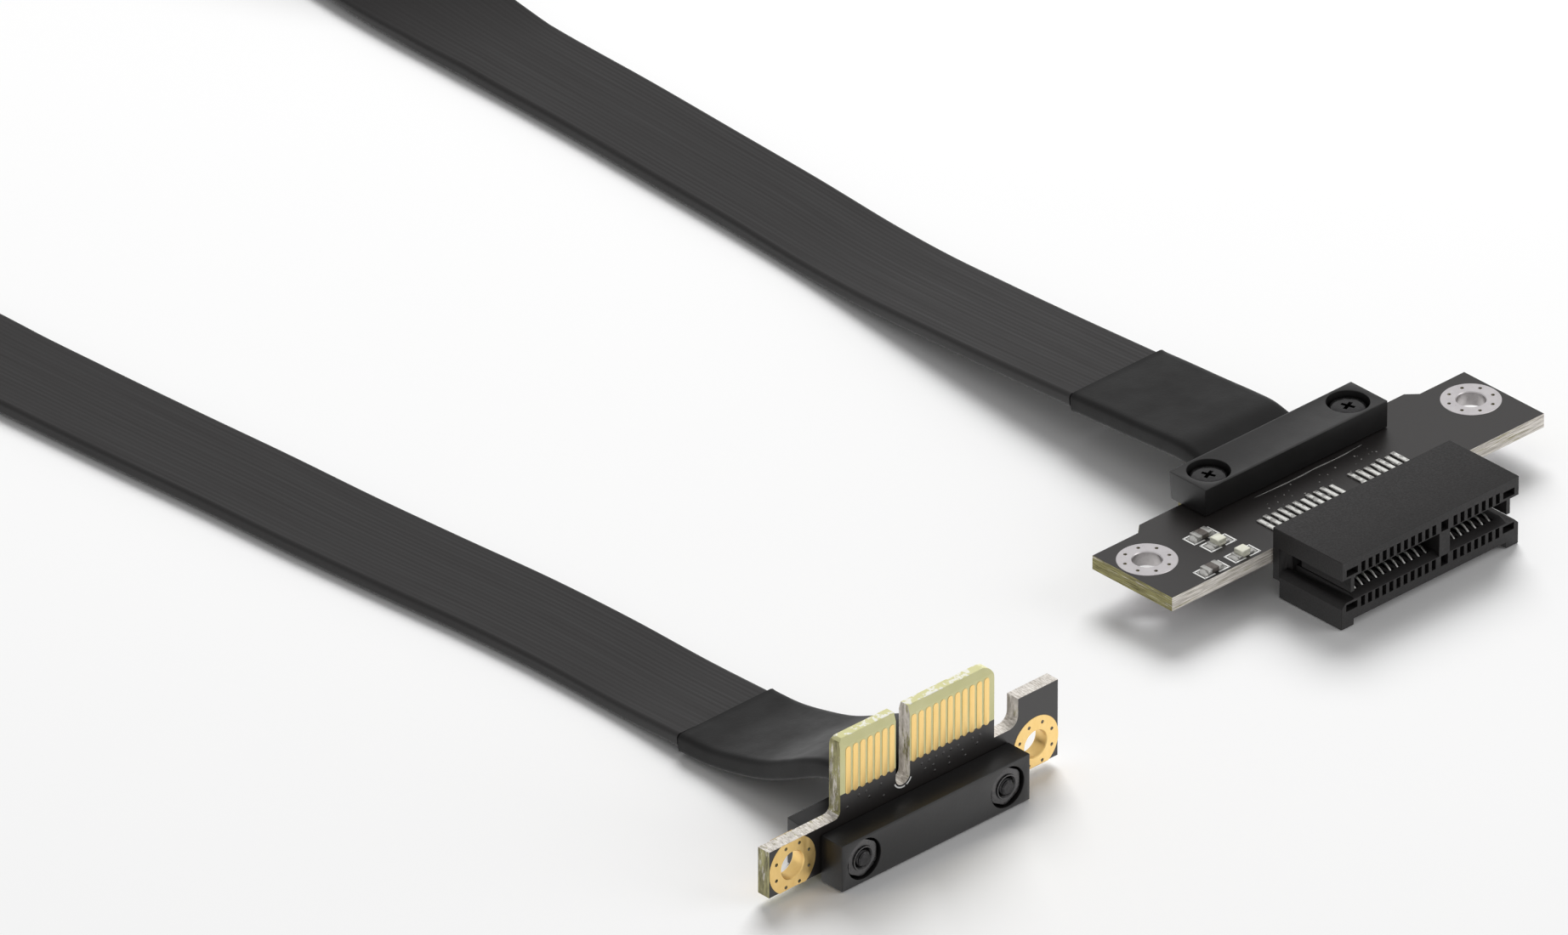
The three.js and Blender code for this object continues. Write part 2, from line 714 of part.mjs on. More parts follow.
function addPiece(group, name, geometry, look, place = [0, 0, 0], turn = null) {
  const mesh = new THREE.Mesh(geometry, new THREE.MeshStandardMaterial(look));
  mesh.name = name;
  mesh.position.set(...place);
  if (turn) mesh.rotation.set(...turn);
  group.add(mesh);
}

const sides = { left: -1, right: 1 };
const riser = new THREE.Group();
const slotEnd = new THREE.Group();
const cardEnd = new THREE.Group();
cardEnd.position.set(cardPlace.x, cardPlace.y, 0);
riser.add(slotEnd, cardEnd);

// Slot end
addPiece(slotEnd, "slot_board", slotBoardGeometry(), boardLook);
addPiece(slotEnd, "slot_housing", housingGeometry(), mouldingLook);
for (const [rowName, row] of Object.entries({ upper: 1, lower: -1 })) {
  contactColumns().forEach((x, i) => {
    const name = `contact_${rowName}_${String(i + 1).padStart(2, "0")}`;
    const nudge = row * seatGap;
    addPiece(slotEnd, name, contactGeometry(x, row), contactLook, [0, 0, nudge]);
  });
}
const upperFace = boardTop + seatGap;
const lowerFace = slotBoard.underside - seatGap;
const upperBar = clampGeometry(clamp.thickness, headRecessDepth, true);
const lowerBar = clampGeometry(lowerFace, nutRecessDepth, false);
addPiece(slotEnd, "clamp_upper", upperBar, mouldingLook, [0, 0, upperFace]);
addPiece(slotEnd, "clamp_lower", lowerBar, mouldingLook, [0, 0, lowerFace], [Math.PI, 0, 0]);
const slotHeadSeat = upperFace + clamp.thickness - headRecessDepth + seatGap;
const slotNutBottom = nutRecessDepth - nutThickness - nutSeat;
for (const [sideName, side] of Object.entries(sides)) {
  const x = (side * screwSpacing) / 2;
  const screw = screwGeometry(slotHeadSeat - slotNutBottom + endBeyondNut / 2);
  addPiece(slotEnd, `clamp_screw_${sideName}`, screw, steelLook, [x, 0, slotHeadSeat]);
  addPiece(slotEnd, `clamp_nut_${sideName}`, nutGeometry(), steelLook, [x, 0, slotNutBottom]);
}
addPiece(slotEnd, "slot_sleeve", slotSleeveGeometry(), ribbonLook);
for (const [name, [fromEnd, fromHoles]] of Object.entries(chipPlaces)) {
  const isLed = name.startsWith("led");
  const geometry = isLed ? ledGeometry() : resistorGeometry();
  const place = [fromEnd - slotBoard.length / 2, holeLine + fromHoles, boardTop + seatGap];
  addPiece(slotEnd, name, geometry, isLed ? lensLook : chipLook, place);
}

// Card end
addPiece(cardEnd, "card_board", cardBoardGeometry(), boardLook);
const frontFace = -seatGap;
const rearFace = boardThickness + seatGap;
const barMiddle = clamp.width / 2;
const frontBar = clampGeometry(clamp.thickness, nutRecessDepth, false);
const rearBar = clampGeometry(clamp.thickness, headRecessDepth, true);
const facingFront = [Math.PI / 2, 0, 0];
const facingRear = [Math.PI / 2, 0, Math.PI, "ZYX"];
const frontPlace = [card.clampCentre, frontFace, barMiddle];
const rearPlace = [card.clampCentre, rearFace, barMiddle];
addPiece(cardEnd, "card_clamp_front", frontBar, mouldingLook, frontPlace, facingFront);
addPiece(cardEnd, "card_clamp_rear", rearBar, mouldingLook, rearPlace, facingRear);
const cardHeadSeat = rearFace + clamp.thickness - headRecessDepth + seatGap;
const cardNutBack = frontFace - clamp.thickness + nutRecessDepth - nutSeat;
const cardShank = cardHeadSeat - cardNutBack + nutThickness + endBeyondNut;
for (const [sideName, side] of Object.entries(sides)) {
  const x = card.clampCentre + (side * screwSpacing) / 2;
  const [screwPlace, nutPlace] = [[x, cardHeadSeat, barMiddle], [x, cardNutBack, barMiddle]];
  const pointingFront = [-Math.PI / 2, 0, 0];
  addPiece(cardEnd, `card_screw_${sideName}`, screwGeometry(cardShank), steelLook, screwPlace, pointingFront);
  addPiece(cardEnd, `card_nut_${sideName}`, nutGeometry(), steelLook, nutPlace, facingFront);
}
addPiece(cardEnd, "card_sleeve", cardSleeveGeometry(), ribbonLook);

// Ribbon between the two sleeves
addPiece(riser, "ribbon_cable", flatTube(ribbon, ribbonRoute), ribbonLook);

export default riser;
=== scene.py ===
import math
import random
from contextlib import contextmanager

import bmesh
import bpy
from mathutils import Matrix, Vector


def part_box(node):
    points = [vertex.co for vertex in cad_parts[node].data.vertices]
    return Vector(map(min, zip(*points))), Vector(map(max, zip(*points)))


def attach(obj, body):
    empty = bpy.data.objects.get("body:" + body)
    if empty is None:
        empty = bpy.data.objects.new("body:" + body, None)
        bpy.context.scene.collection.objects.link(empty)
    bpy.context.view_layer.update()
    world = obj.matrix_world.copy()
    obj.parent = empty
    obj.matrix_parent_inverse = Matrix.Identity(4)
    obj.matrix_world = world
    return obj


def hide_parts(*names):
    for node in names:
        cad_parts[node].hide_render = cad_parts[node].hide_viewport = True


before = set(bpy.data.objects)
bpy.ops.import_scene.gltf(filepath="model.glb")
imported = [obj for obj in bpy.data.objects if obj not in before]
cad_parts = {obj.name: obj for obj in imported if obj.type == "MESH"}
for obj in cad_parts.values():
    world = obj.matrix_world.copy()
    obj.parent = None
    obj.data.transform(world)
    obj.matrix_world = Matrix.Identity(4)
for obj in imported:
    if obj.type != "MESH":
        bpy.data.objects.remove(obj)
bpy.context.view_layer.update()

# The camera stands where the photograph was taken from: a long lens, a little above the table, looking
# along the ribbons from the card end's side. The picture is 1844 by 1100 pixels.
mm = 0.001
photo_width = 1844
pixels_per_mm = 11.62
view_turn = math.radians(43.67)
view_dip = math.radians(30.69)
looked_at = Vector((-30.81, 39.93, 0)) * mm
camera_distance = 3.0
sensor_width = 36.0

forward = Vector(
    (
        math.sin(view_turn) * math.cos(view_dip),
        math.cos(view_turn) * math.cos(view_dip),
        -math.sin(view_dip),
    )
)
bpy.ops.object.camera_add(
    location=looked_at - forward * camera_distance,
    rotation=forward.to_track_quat("-Z", "Y").to_euler(),
)
camera = bpy.context.object
camera.data.sensor_width = sensor_width
camera.data.lens = pixels_per_mm * camera_distance / mm * sensor_width / photo_width
camera.data.clip_end = 50
bpy.context.scene.camera = camera
bpy.context.scene.view_settings.view_transform = "Standard"


# The node setups are written as sums: a Socket is one output of a material's nodes, and arithmetic on it
# adds Math nodes. A Finish is one material, with a Principled surface whose sockets are set by name.
class Socket:
    def __init__(self, finish, output):
        self.finish = finish
        self.output = output

    def maths(self, operation, first, second=None):
        values = {0: first} if second is None else {0: first, 1: second}
        return self.finish.node("ShaderNodeMath", {"operation": operation}, values)

    def __add__(self, other):
        return self.maths("ADD", self, other)

    def __sub__(self, other):
        return self.maths("SUBTRACT", self, other)

    def __rsub__(self, other):
        return self.maths("SUBTRACT", other, self)

    def __mul__(self, other):
        return self.maths("MULTIPLY", self, other)

    def __truediv__(self, other):
        return self.maths("DIVIDE", self, other)

    def __gt__(self, other):
        return self.maths("GREATER_THAN", self, other)

    def __lt__(self, other):
        return self.maths("LESS_THAN", self, other)

    def __abs__(self):
        return self.maths("ABSOLUTE", self)

    def sine(self):
        return self.maths("SINE", self)

    __radd__ = __add__
    __rmul__ = __mul__


class Finish:
    def __init__(self, name):
        self.material = bpy.data.materials.new(name)
        self.material.use_nodes = True
        self.nodes = self.material.node_tree.nodes
        self.shader = self.nodes["Principled BSDF"]

    def fill(self, node, values):
        for key, value in values.items():
            if isinstance(value, Socket):
                self.material.node_tree.links.new(value.output, node.inputs[key])
            else:
                node.inputs[key].default_value = value

    def node(self, kind, settings, values, output=0):
        node = self.nodes.new(kind)
        for key, value in settings.items():
            if key == "stops":
                for place, (position, shade) in enumerate(value):
                    if place > 1:
                        node.color_ramp.elements.new(position)
                    node.color_ramp.elements[place].position = position
                    node.color_ramp.elements[place].color = (shade, shade, shade, 1)
            else:
                setattr(node, key, value)
        self.fill(node, values)
        return Socket(self, node.outputs[output])

    def surface(self, **values):
        self.fill(self.shader, {key.replace("_", " "): value for key, value in values.items()})
        return self.material

    def mottled(self, pattern, dark, light, smooth, rough, **values):
        colour = self.mixed(pattern, paint(*dark), paint(*light))
        roughness = self.ramp(pattern, [(0.3, smooth), (0.7, rough)])
        return self.surface(Base_Color=colour, Roughness=roughness, **values)

    def place(self, output="Object"):
        return self.node("ShaderNodeTexCoord", {}, {}, output)

    def stretched(self, vector, scale):
        return self.node("ShaderNodeMapping", {}, {"Vector": vector, "Scale": scale})

    def axes(self, vector):
        return [self.node("ShaderNodeSeparateXYZ", {}, {"Vector": vector}, axis) for axis in "XYZ"]

    def noise(self, scale, detail=3.0, roughness=0.55, vector=None):
        values = {"Vector": vector or self.place(), "Scale": scale, "Detail": detail, "Roughness": roughness}
        return self.node("ShaderNodeTexNoise", {}, values, "Fac")

    def ramp(self, value, stops):
        return self.node("ShaderNodeValToRGB", {"stops": stops}, {"Fac": value})

    def mixed(self, share, first, second):
        settings = {"data_type": "RGBA", "clamp_factor": True}
        return self.node("ShaderNodeMix", settings, {0: share, 6: first, 7: second}, 2)

    def bump(self, height, depth):
        values = {"Height": height, "Distance": depth, "Strength": 1.0}
        return self.node("ShaderNodeBump", {}, values, "Normal")


def paint(red, green, blue):
    """A colour read off as 0 to 255 on a screen, as the shader's linear numbers."""
    linear = [((c / 255 + 0.055) / 1.055) ** 2.4 if c > 10 else c / 255 / 12.92 for c in (red, green, blue)]
    return (*linear, 1)


# The table is a plain white sheet that keeps the soft shadows, under a studio tent: an even sky, one large
# softbox behind the object that throws its shadow towards the camera, and a weak, low one from the right.
# Glossy pieces see the sheet as clean white, so the black plastics don't mirror their own shadow.
table_size = 12
table_drop = 0.1
table_in_mirrors = 0.72
white_sheet = Finish("white_sheet")
bpy.ops.mesh.primitive_plane_add(size=table_size, location=(0, 0, -table_drop * mm))
table = bpy.context.object
table.name = "table"
white_sheet.surface(Base_Color=paint(254, 254, 254), Roughness=1.0, Specular_IOR_Level=0.0)
mirrored_ray = white_sheet.node("ShaderNodeLightPath", {}, {}, "Is Glossy Ray")
white_sheet.surface(Emission_Color=(1, 1, 1, 1), Emission_Strength=mirrored_ray * table_in_mirrors)
table.data.materials.append(white_sheet.material)


def softbox(name, share, turn, height, distance, size, mirrored):
    """A square lamp whose light gives a white table that share of full white."""
    turn, height = math.radians(turn), math.radians(height)
    away = Vector((math.sin(turn) * math.cos(height), math.cos(turn) * math.cos(height), math.sin(height)))
    bpy.ops.object.light_add(
        type="AREA",
        location=looked_at + away * distance,
        rotation=(-away).to_track_quat("-Z", "Y").to_euler(),
    )
    lamp = bpy.context.object
    lamp.name = name
    lamp.data.size = size
    lamp.data.energy = share * math.pi**2 * distance**2 / math.sin(height)
    lamp.visible_glossy = mirrored


softbox("softbox_behind", 0.63, 46, 43, 1.9, 1.05, mirrored=False)
softbox("softbox_front", 0.08, 142, 24, 1.9, 1.2, mirrored=True)

sky_level = 0.33
world = bpy.data.worlds.new("tent")
bpy.context.scene.world = world
world.use_nodes = True
sky_nodes = world.node_tree.nodes
sky = sky_nodes["Background"]
sky.inputs["Color"].default_value = (1, 1, 1, 1)
rays = sky_nodes.new("ShaderNodeLightPath")
seen = sky_nodes.new("ShaderNodeMath")
seen.operation = "MAXIMUM"
world.node_tree.links.new(rays.outputs["Is Camera Ray"], seen.inputs[0])
world.node_tree.links.new(rays.outputs["Is Glossy Ray"], seen.inputs[1])
level = sky_nodes.new("ShaderNodeMapRange")
level.inputs["To Min"].default_value = sky_level
level.inputs["To Max"].default_value = 1.0
world.node_tree.links.new(seen.outputs[0], level.inputs["Value"])
world.node_tree.links.new(level.outputs[0], sky.inputs["Strength"])

# The ribbon is many fine coaxial wires side by side in one flat black jacket, which shows them as shallow
# ribs along its length. It lies flat, turns on its edge, bends round in one loop and lies flat again.
ribbon_width = 12.7
ribbon_thickness = 1.5
ribbon_corner = 0.45
ribbon_rib = 0.58
ribbon_rib_depth = 0.015
ribbon_step = 2.2
ribbon_route = [
    (0.3, 23.8, 4.5, 0),
    (0.6, 32, 3.8, 0),
    (1.1, 40, 3.0, 0),
    (1.7, 48, 2.2, 0),
    (2.4, 57, 1.35, 0),
    (3.2, 66, 0.85, 0),
    (4.1, 78, 0.8, 0),
    (4.7, 90, 0.8, 0),
    (5.4, 104, 0.8, 0),
    (5.8, 120, 0.92, 0),
    (5.9, 130, 1.75, 8),
    (5.9, 139, 3.3, 24),
    (5.9, 148, 4.75, 41),
    (5.9, 157, 5.8, 58),
    (5.9, 166, 6.35, 75),
    (5.9, 176, 6.4, 90),
    (2.8, 191.5, 6.4, 90),
    (-6, 204.7, 6.4, 90),
    (-19.2, 213.5, 6.4, 90),
    (-34.7, 216.6, 6.4, 90),
    (-50.2, 213.5, 6.4, 90),
    (-63.4, 204.7, 6.4, 90),
    (-72.2, 191.5, 6.4, 90),
    (-75.3, 176, 6.4, 90),
    (-75.3, 165, 6.35, 76),
    (-75.3, 155, 5.8, 58),
    (-75.3, 145, 4.65, 40),
    (-75.3, 135, 3.1, 22),
    (-75.3, 125, 1.65, 7),
    (-75.3, 113, 0.92, 0),
    (-74.7, 100, 0.8, 0),
    (-73.9, 86, 0.8, 0),
    (-73.1, 74, 0.8, 0),
    (-72.5, 62, 0.8, 0),
    (-71.6, 50, 0.8, 0),
    (-70.6, 38, 0.8, 0),
    (-70.2, 27, 0.8, 0),
    (-70.3, 16, 0.85, 0),
    (-70.6, 6.8, 1.35, 0),
]


def smooth_route(points, step, level=None):
    """Stations along a smooth curve through the points: place, across, up and distance, in millimetres."""
    places = [Vector(point[:3]) for point in points]
    rolls = [math.radians(point[3]) if len(point) > 3 else 0.0 for point in points]
    places = [places[0] * 2 - places[1], *places, places[-1] * 2 - places[-2]]
    dense = []
    for i in range(1, len(places) - 2):
        p0, p1, p2, p3 = places[i - 1 : i + 3]
        d0, d1, d2 = (p1 - p0).length ** 0.5, (p2 - p1).length ** 0.5, (p3 - p2).length ** 0.5
        t1 = ((p1 - p0) / d0 - (p2 - p0) / (d0 + d1) + (p2 - p1) / d1) * d1
        t2 = ((p2 - p1) / d1 - (p3 - p1) / (d1 + d2) + (p3 - p2) / d2) * d1
        for j in range(24):
            s = j / 24
            place = p1 + t1 * s + (3 * (p2 - p1) - 2 * t1 - t2) * s**2 + (2 * (p1 - p2) + t1 + t2) * s**3
            dense.append((place, rolls[i - 1] + (rolls[i] - rolls[i - 1]) * s))
    dense.append((places[-2], rolls[-1]))
    distances = [0.0]
    for (a, _), (b, _) in zip(dense, dense[1:]):
        distances.append(distances[-1] + (b - a).length)
    count = max(2, round(distances[-1] / step))
    stations = []
    spot = 0
    for k in range(count + 1):
        wanted = distances[-1] * k / count
        while spot < len(dense) - 2 and distances[spot + 1] < wanted:
            spot += 1
        share = (wanted - distances[spot]) / (distances[spot + 1] - distances[spot])
        place = dense[spot][0].lerp(dense[spot + 1][0], share)
        roll = dense[spot][1] + (dense[spot + 1][1] - dense[spot][1]) * share
        stations.append((place, roll, wanted))
    framed = []
    for k, (place, roll, distance) in enumerate(stations):
        before = stations[max(k - 1, 0)][0]
        after = stations[min(k + 1, count)][0]
        along = (after - before).normalized()
        side = (level or along.cross(Vector((0, 0, 1)))).normalized()
        across = Matrix.Rotation(-roll, 3, along) @ side
        framed.append((place, across, across.cross(along), distance))
    return framed


def flat_section(width, thickness, corner, ribs=None):
    """Outline of a flat section as (across, up), anticlockwise from the right-hand edge's foot."""
    half, rise = width / 2 - corner, thickness / 2 - corner
    points = []
    corners = ((half, -rise, -90), (half, rise, 0), (-half, rise, 90), (-half, -rise, 180))
    for centre_x, centre_y, start in corners:
        for k in range(4):
            angle = math.radians(start + 30 * k)
            points.append((centre_x + corner * math.cos(angle), centre_y + corner * math.sin(angle)))
        if ribs and start in (0, 180):
            pitch, depth = ribs
            direction = -1 if start == 0 else 1
            steps = round(2 * half / pitch) * 4
            for k in range(1, steps):
                x = direction * (2 * half * k / steps - half)
                dip = depth * (0.5 - 0.5 * math.cos(2 * math.pi * k / 4))
                points.append((x, -direction * (thickness / 2 - dip)))
    return points


def placed(name, mesh):
    """A new object that holds the mesh, at the origin."""
    piece = bpy.data.objects.new(name, mesh)
    bpy.context.scene.collection.objects.link(piece)
    return piece


def swept(name, stations, section_at):
    """A closed mesh through the stations. Its map has millimetres across as U and along as V."""
    shape = bmesh.new()
    layer = shape.loops.layers.uv.new("Lay")
    rings = []
    for place, across, up, distance in stations:
        outline = section_at(distance)
        rings.append([shape.verts.new((place + across * x + up * y) * mm) for x, y in outline])
    outline = section_at(0)
    spread = [0.0]
    for (x0, y0), (x1, y1) in zip(outline, outline[1:] + outline[:1]):
        spread.append(spread[-1] + math.hypot(x1 - x0, y1 - y0))
    size = len(outline)
    for i in range(len(rings) - 1):
        for j in range(size):
            k = (j + 1) % size
            face = shape.faces.new((rings[i][j], rings[i + 1][j], rings[i + 1][k], rings[i][k]))
            corners = ((spread[j], i), (spread[j], i + 1), (spread[j + 1], i + 1), (spread[j + 1], i))
            for loop, (u, station) in zip(face.loops, corners):
                loop[layer].uv = (u, stations[station][3])
    shape.faces.new(rings[0])
    shape.faces.new(rings[-1][::-1])
    bmesh.ops.recalc_face_normals(shape, faces=shape.faces)
    mesh = bpy.data.meshes.new(name)
    shape.to_mesh(mesh)
    shape.free()
    return placed(name, mesh)


def only(piece):
    """Makes the piece the one selected and active object."""
    bpy.ops.object.select_all(action="DESELECT")
    piece.select_set(True)
    bpy.context.view_layer.objects.active = piece


def seat(piece, material, slot, *replaced, smooth=25):
    """Gives a finished piece its material, smooth shading and body. Its slot is not used."""
    only(piece)
    bpy.ops.object.shade_smooth_by_angle(angle=math.radians(smooth))
    piece.data.materials.clear()
    piece.data.materials.append(material)
    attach(piece, "root")
    if replaced:
        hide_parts(*replaced)
    return piece


jacket = Finish("ribbon_jacket")
lay = jacket.place("UV")
streaks = jacket.noise(1.0, 4.0, vector=jacket.stretched(lay, (2.2, 0.05, 1)))
grain = jacket.noise(5200, 2.0)
jacket_relief = jacket.bump(grain * 0.4 + streaks * 0.6, 0.012 * mm)
jacket.mottled(streaks, (25, 24, 24), (36, 34, 34), 0.46, 0.6, Normal=jacket_relief, Specular_IOR_Level=0.25)

ribbon_stations = smooth_route(ribbon_route, ribbon_step)
ribbon_outline = flat_section(ribbon_width, ribbon_thickness, ribbon_corner, (ribbon_rib, ribbon_rib_depth))
ribbon = swept("ribbon", ribbon_stations, lambda distance: ribbon_outline)
seat(ribbon, jacket.material, "ribbon", "ribbon_cable", smooth=60)
ribbon_stations[-1][3] * mm
[place * mm for place, _, _, _ in ribbon_stations]


# The slot end's board is 1.6 mm glass-fibre laminate under a black solder mask on both faces. It was
# routed out of a panel, so its edges show the bare yellowish laminate with pale scuffs from the router.
# The front edges show more of the pale colour than the others. That extra share is painted light on the side
# that faces the lamp, over the real scuffs.
board_edge = 0.05


@contextmanager
def editing(piece):
    """Edit mode on one piece, with all of it selected."""
    only(piece)
    bpy.ops.object.mode_set(mode="EDIT")
    bpy.ops.mesh.select_all(action="SELECT")
    yield
    bpy.ops.object.mode_set(mode="OBJECT")


def flawless(piece):
    """Merges doubles and turns every face of a closed piece outwards."""
    with editing(piece):
        bpy.ops.mesh.remove_doubles(threshold=0.001 * mm)
        bpy.ops.mesh.normals_make_consistent(inside=False)
    return piece


def whole_copy(node, name):
    """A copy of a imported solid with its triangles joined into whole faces."""
    piece = placed(name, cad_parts[node].data.copy())
    with editing(piece):
        bpy.ops.mesh.remove_doubles(threshold=0.002 * mm)
        bpy.ops.mesh.dissolve_limited(angle_limit=math.radians(1))
    return piece


def span(node):
    """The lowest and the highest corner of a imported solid, in millimetres."""
    return [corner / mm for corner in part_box(node)]


def bevelled(piece, width, segments=2, angle=30):
    """Breaks every edge sharper than the angle."""
    only(piece)
    bevel = piece.modifiers.new("Broken edges", "BEVEL")
    bevel.width = width * mm
    bevel.segments = segments
    bevel.limit_method = "ANGLE"
    bevel.angle_limit = math.radians(angle)
    bpy.ops.object.modifier_apply(modifier=bevel.name)
    return piece


def laminate_edge(finish, along, lit_side_bias):
    """Colour of the bare laminate at a routed edge, with streaks along the stretched axis. The pale colour
    marks real router scuffs, and the last argument pushes more of it onto chosen faces as painted light.
    """
    place = finish.place()
    fibres = finish.noise(3200, 4.0, 0.7, finish.stretched(place, along))
    glass = finish.ramp(fibres, [(0.34, 0.0), (0.66, 1.0)])
    scuffs = finish.noise(1400, 5.0, 0.75, finish.stretched(place, along))
    bare = finish.mixed(glass, paint(92, 86, 48), paint(186, 180, 124))
    scuff_and_light_colour = finish.mixed(glass, paint(172, 164, 153), paint(253, 248, 241))
    return finish.mixed(finish.ramp(scuffs + lit_side_bias * 0.2, [(0.56, 0.0), (0.64, 1.0)]), bare, scuff_and_light_colour)


mask = Finish("slot_board_mask")
facing = mask.axes(mask.node("ShaderNodeNewGeometry", {}, {}, "Normal"))
is_face = abs(facing[2]) > 0.9
is_front = facing[1] < -0.7
board_place = mask.axes(mask.place())
trace_wave = (board_place[0] * (2 * math.pi / (0.9 * mm))).sine()
in_trace_run = (board_place[1] > -8.2 * mm) * (board_place[1] < -2.9 * mm) * (abs(board_place[0]) < 9.5 * mm)
traces = (trace_wave > 0.35) * in_trace_run
weave = mask.noise(700, 3.0)
mask.surface(
    # is_front paints light onto the front edges, which show more of the pale scuffed colour.
    Base_Color=mask.mixed(is_face, laminate_edge(mask, (0.12, 0.12, 2.5), is_front), paint(27, 24, 23)),
    Roughness=0.75 - is_face * 0.37,
    Normal=mask.bump(traces * 0.8 + weave * 0.2, 0.02 * mm),
    Specular_IOR_Level=0.4,
)
slot_board = bevelled(whole_copy("slot_board", "slot_board_dressed"), board_edge, 1)
slot_low, slot_high = span("slot_board")
board_top = slot_high.z
board_bottom = slot_low.z

# Each mounting hole is plated: a bright ring on both faces joined by the metal lining of the hole, with a
# circle of eight small plated holes that stitch the two rings together.
ring_outer = 3.15
ring_inner = 1.52
ring_rise = 0.04
stitch_circle = 2.4
stitch_radius = 0.2
stitch_count = 8
plating_wall = 0.03
hole_line = -4.55
hole_inset = 3.4


def turned(name, profile, steps=64):
    """A piece turned about the vertical axis from a profile of (radius, height)."""
    mesh = bpy.data.meshes.new(name)
    corners = [(radius * mm, 0, height * mm) for radius, height in profile]
    closed = profile[0][0] > 0
    edges = [(i, i + 1) for i in range(len(corners) - 1)] + ([(len(corners) - 1, 0)] if closed else [])
    mesh.from_pydata(corners, edges, [])
    piece = placed(name, mesh)
    with editing(piece):
        bpy.ops.mesh.spin(steps=steps, angle=2 * math.pi, center=(0, 0, 0), axis=(0, 0, 1))
    return flawless(piece)


def carved(piece, *cutters, operation="DIFFERENCE"):
    """Cuts the piece with the other pieces, which are used up."""
    for cutter in cutters:
        only(piece)
        cut = piece.modifiers.new("Cut", "BOOLEAN")
        cut.operation = operation
        cut.solver = "EXACT"
        cut.object = cutter
        bpy.ops.object.modifier_apply(modifier=cut.name)
        bpy.data.objects.remove(cutter)
    return piece


def cylinder(radius, low, high, x=0.0, y=0.0, sides=64, top_radius=None):
    """An upright round bar between two heights, or a taper where its top has a radius of its own."""
    bpy.ops.mesh.primitive_cone_add(
        vertices=sides,
        radius1=radius * mm,
        radius2=(radius if top_radius is None else top_radius) * mm,
        depth=(high - low) * mm,
        location=(x * mm, y * mm, (low + high) / 2 * mm),
    )
    bpy.ops.object.transform_apply()
    return bpy.context.object


def block(low, high):
    """A box between two corners."""
    bpy.ops.mesh.primitive_cube_add(size=1, location=(Vector(low) + Vector(high)) / 2 * mm)
    piece = bpy.context.object
    piece.scale = (Vector(high) - Vector(low)) * mm
    bpy.ops.object.transform_apply()
    return piece


def joined(pieces, name):
    """Several meshes as one piece."""
    only(pieces[0])
    for piece in pieces:
        piece.select_set(True)
    bpy.ops.object.join()
    pieces[0].name = name
    return pieces[0]


def moved(piece, matrix):
    """Sets a piece that was modelled at the origin in its place."""
    piece.data.transform(matrix)
    piece.data.update()
    return piece


def stitch_drill(radius, thickness):
    """Eight pins in the circle of the small holes, to cut a ring or its board with."""
    pins = []
    for k in range(stitch_count):
        angle = 2 * math.pi * (k + 0.5) / stitch_count
        x, y = stitch_circle * math.cos(angle), stitch_circle * math.sin(angle)
        pins.append(cylinder(radius, -1, thickness + 1, x, y, sides=20))
    return joined(pins, "drill")


def at(x, y, z):
    """The move to a place in millimetres."""
    return Matrix.Translation(Vector((x, y, z)) * mm)


def plated_hole(name, thickness):
    """The plating of one mounting hole, standing on height 0 with the board's two faces around it."""
    rim, mouth, mouth_depth, lining = 0.03, 0.08, 0.06, 0.1
    profile = [
        (ring_outer, thickness),
        (ring_outer - rim, thickness + ring_rise),
        (ring_inner + mouth, thickness + ring_rise),
        (ring_inner, thickness - mouth_depth),
        (ring_inner, mouth_depth),
        (ring_inner + mouth, -ring_rise),
        (ring_outer - rim, -ring_rise),
        (ring_outer, 0),
        (ring_inner + lining, 0),
        (ring_inner + lining, thickness),
    ]
    return carved(turned(name, profile), stitch_drill(stitch_radius, thickness))


tin_plate = Finish("tin_plate")
smear = tin_plate.noise(900, 4.0)
flat = abs(tin_plate.axes(tin_plate.node("ShaderNodeNewGeometry", {}, {}, "Normal"))[2])
flat_colour = tin_plate.mixed(smear, paint(178, 174, 176), paint(208, 204, 205))
# The hole's lining and the rings' upright rims get a darker colour than the flat faces. This is painted
# shade inside the hole.
shaded_lining_colour = tin_plate.mixed(smear, paint(104, 101, 100), paint(186, 182, 182))
tin_plate.surface(
    Base_Color=tin_plate.mixed(flat, shaded_lining_colour, flat_colour),
    Metallic=0.9,
    Roughness=tin_plate.ramp(smear, [(0.3, 0.26), (0.7, 0.42)]),
    Normal=tin_plate.bump(smear, 0.02 * mm),
)
board_thickness = board_top - board_bottom
for side, name in ((-1, "left"), (1, "right")):
    ring = plated_hole(f"slot_ring_{name}", board_thickness)
    x = side * (slot_high.x - hole_inset)
    there = at(x, hole_line, board_bottom)
    carved(slot_board, moved(stitch_drill(stitch_radius + plating_wall, board_thickness), there))
    seat(moved(ring, there), tin_plate.material, "silver")
seat(slot_board, mask.material, "board", "slot_board")

# Four chip parts of 2 by 1.25 mm are soldered beside the slot: two resistors and two light-emitting
# diodes. A white printed frame with open sides stands round each, and solder rises up both its ends.
chip_length = 2.0
chip_width = 1.25
chip_height = 0.5
chip_lift = 0.02
led_base_height = 0.26
led_end_height = 0.28
chip_pad_from = 0.6
chip_pad_to = 1.5
chip_pad_half = 0.62
terminal_length = 0.55
wedge_reach = 0.4
wedge_shift = 0.1
lens_half = 0.64
lens_height = 0.74
frame_reach_x = 1.8
frame_reach_y = 0.9
frame_stroke = 0.2
frame_gap = 0.26
print_rise = 0.025


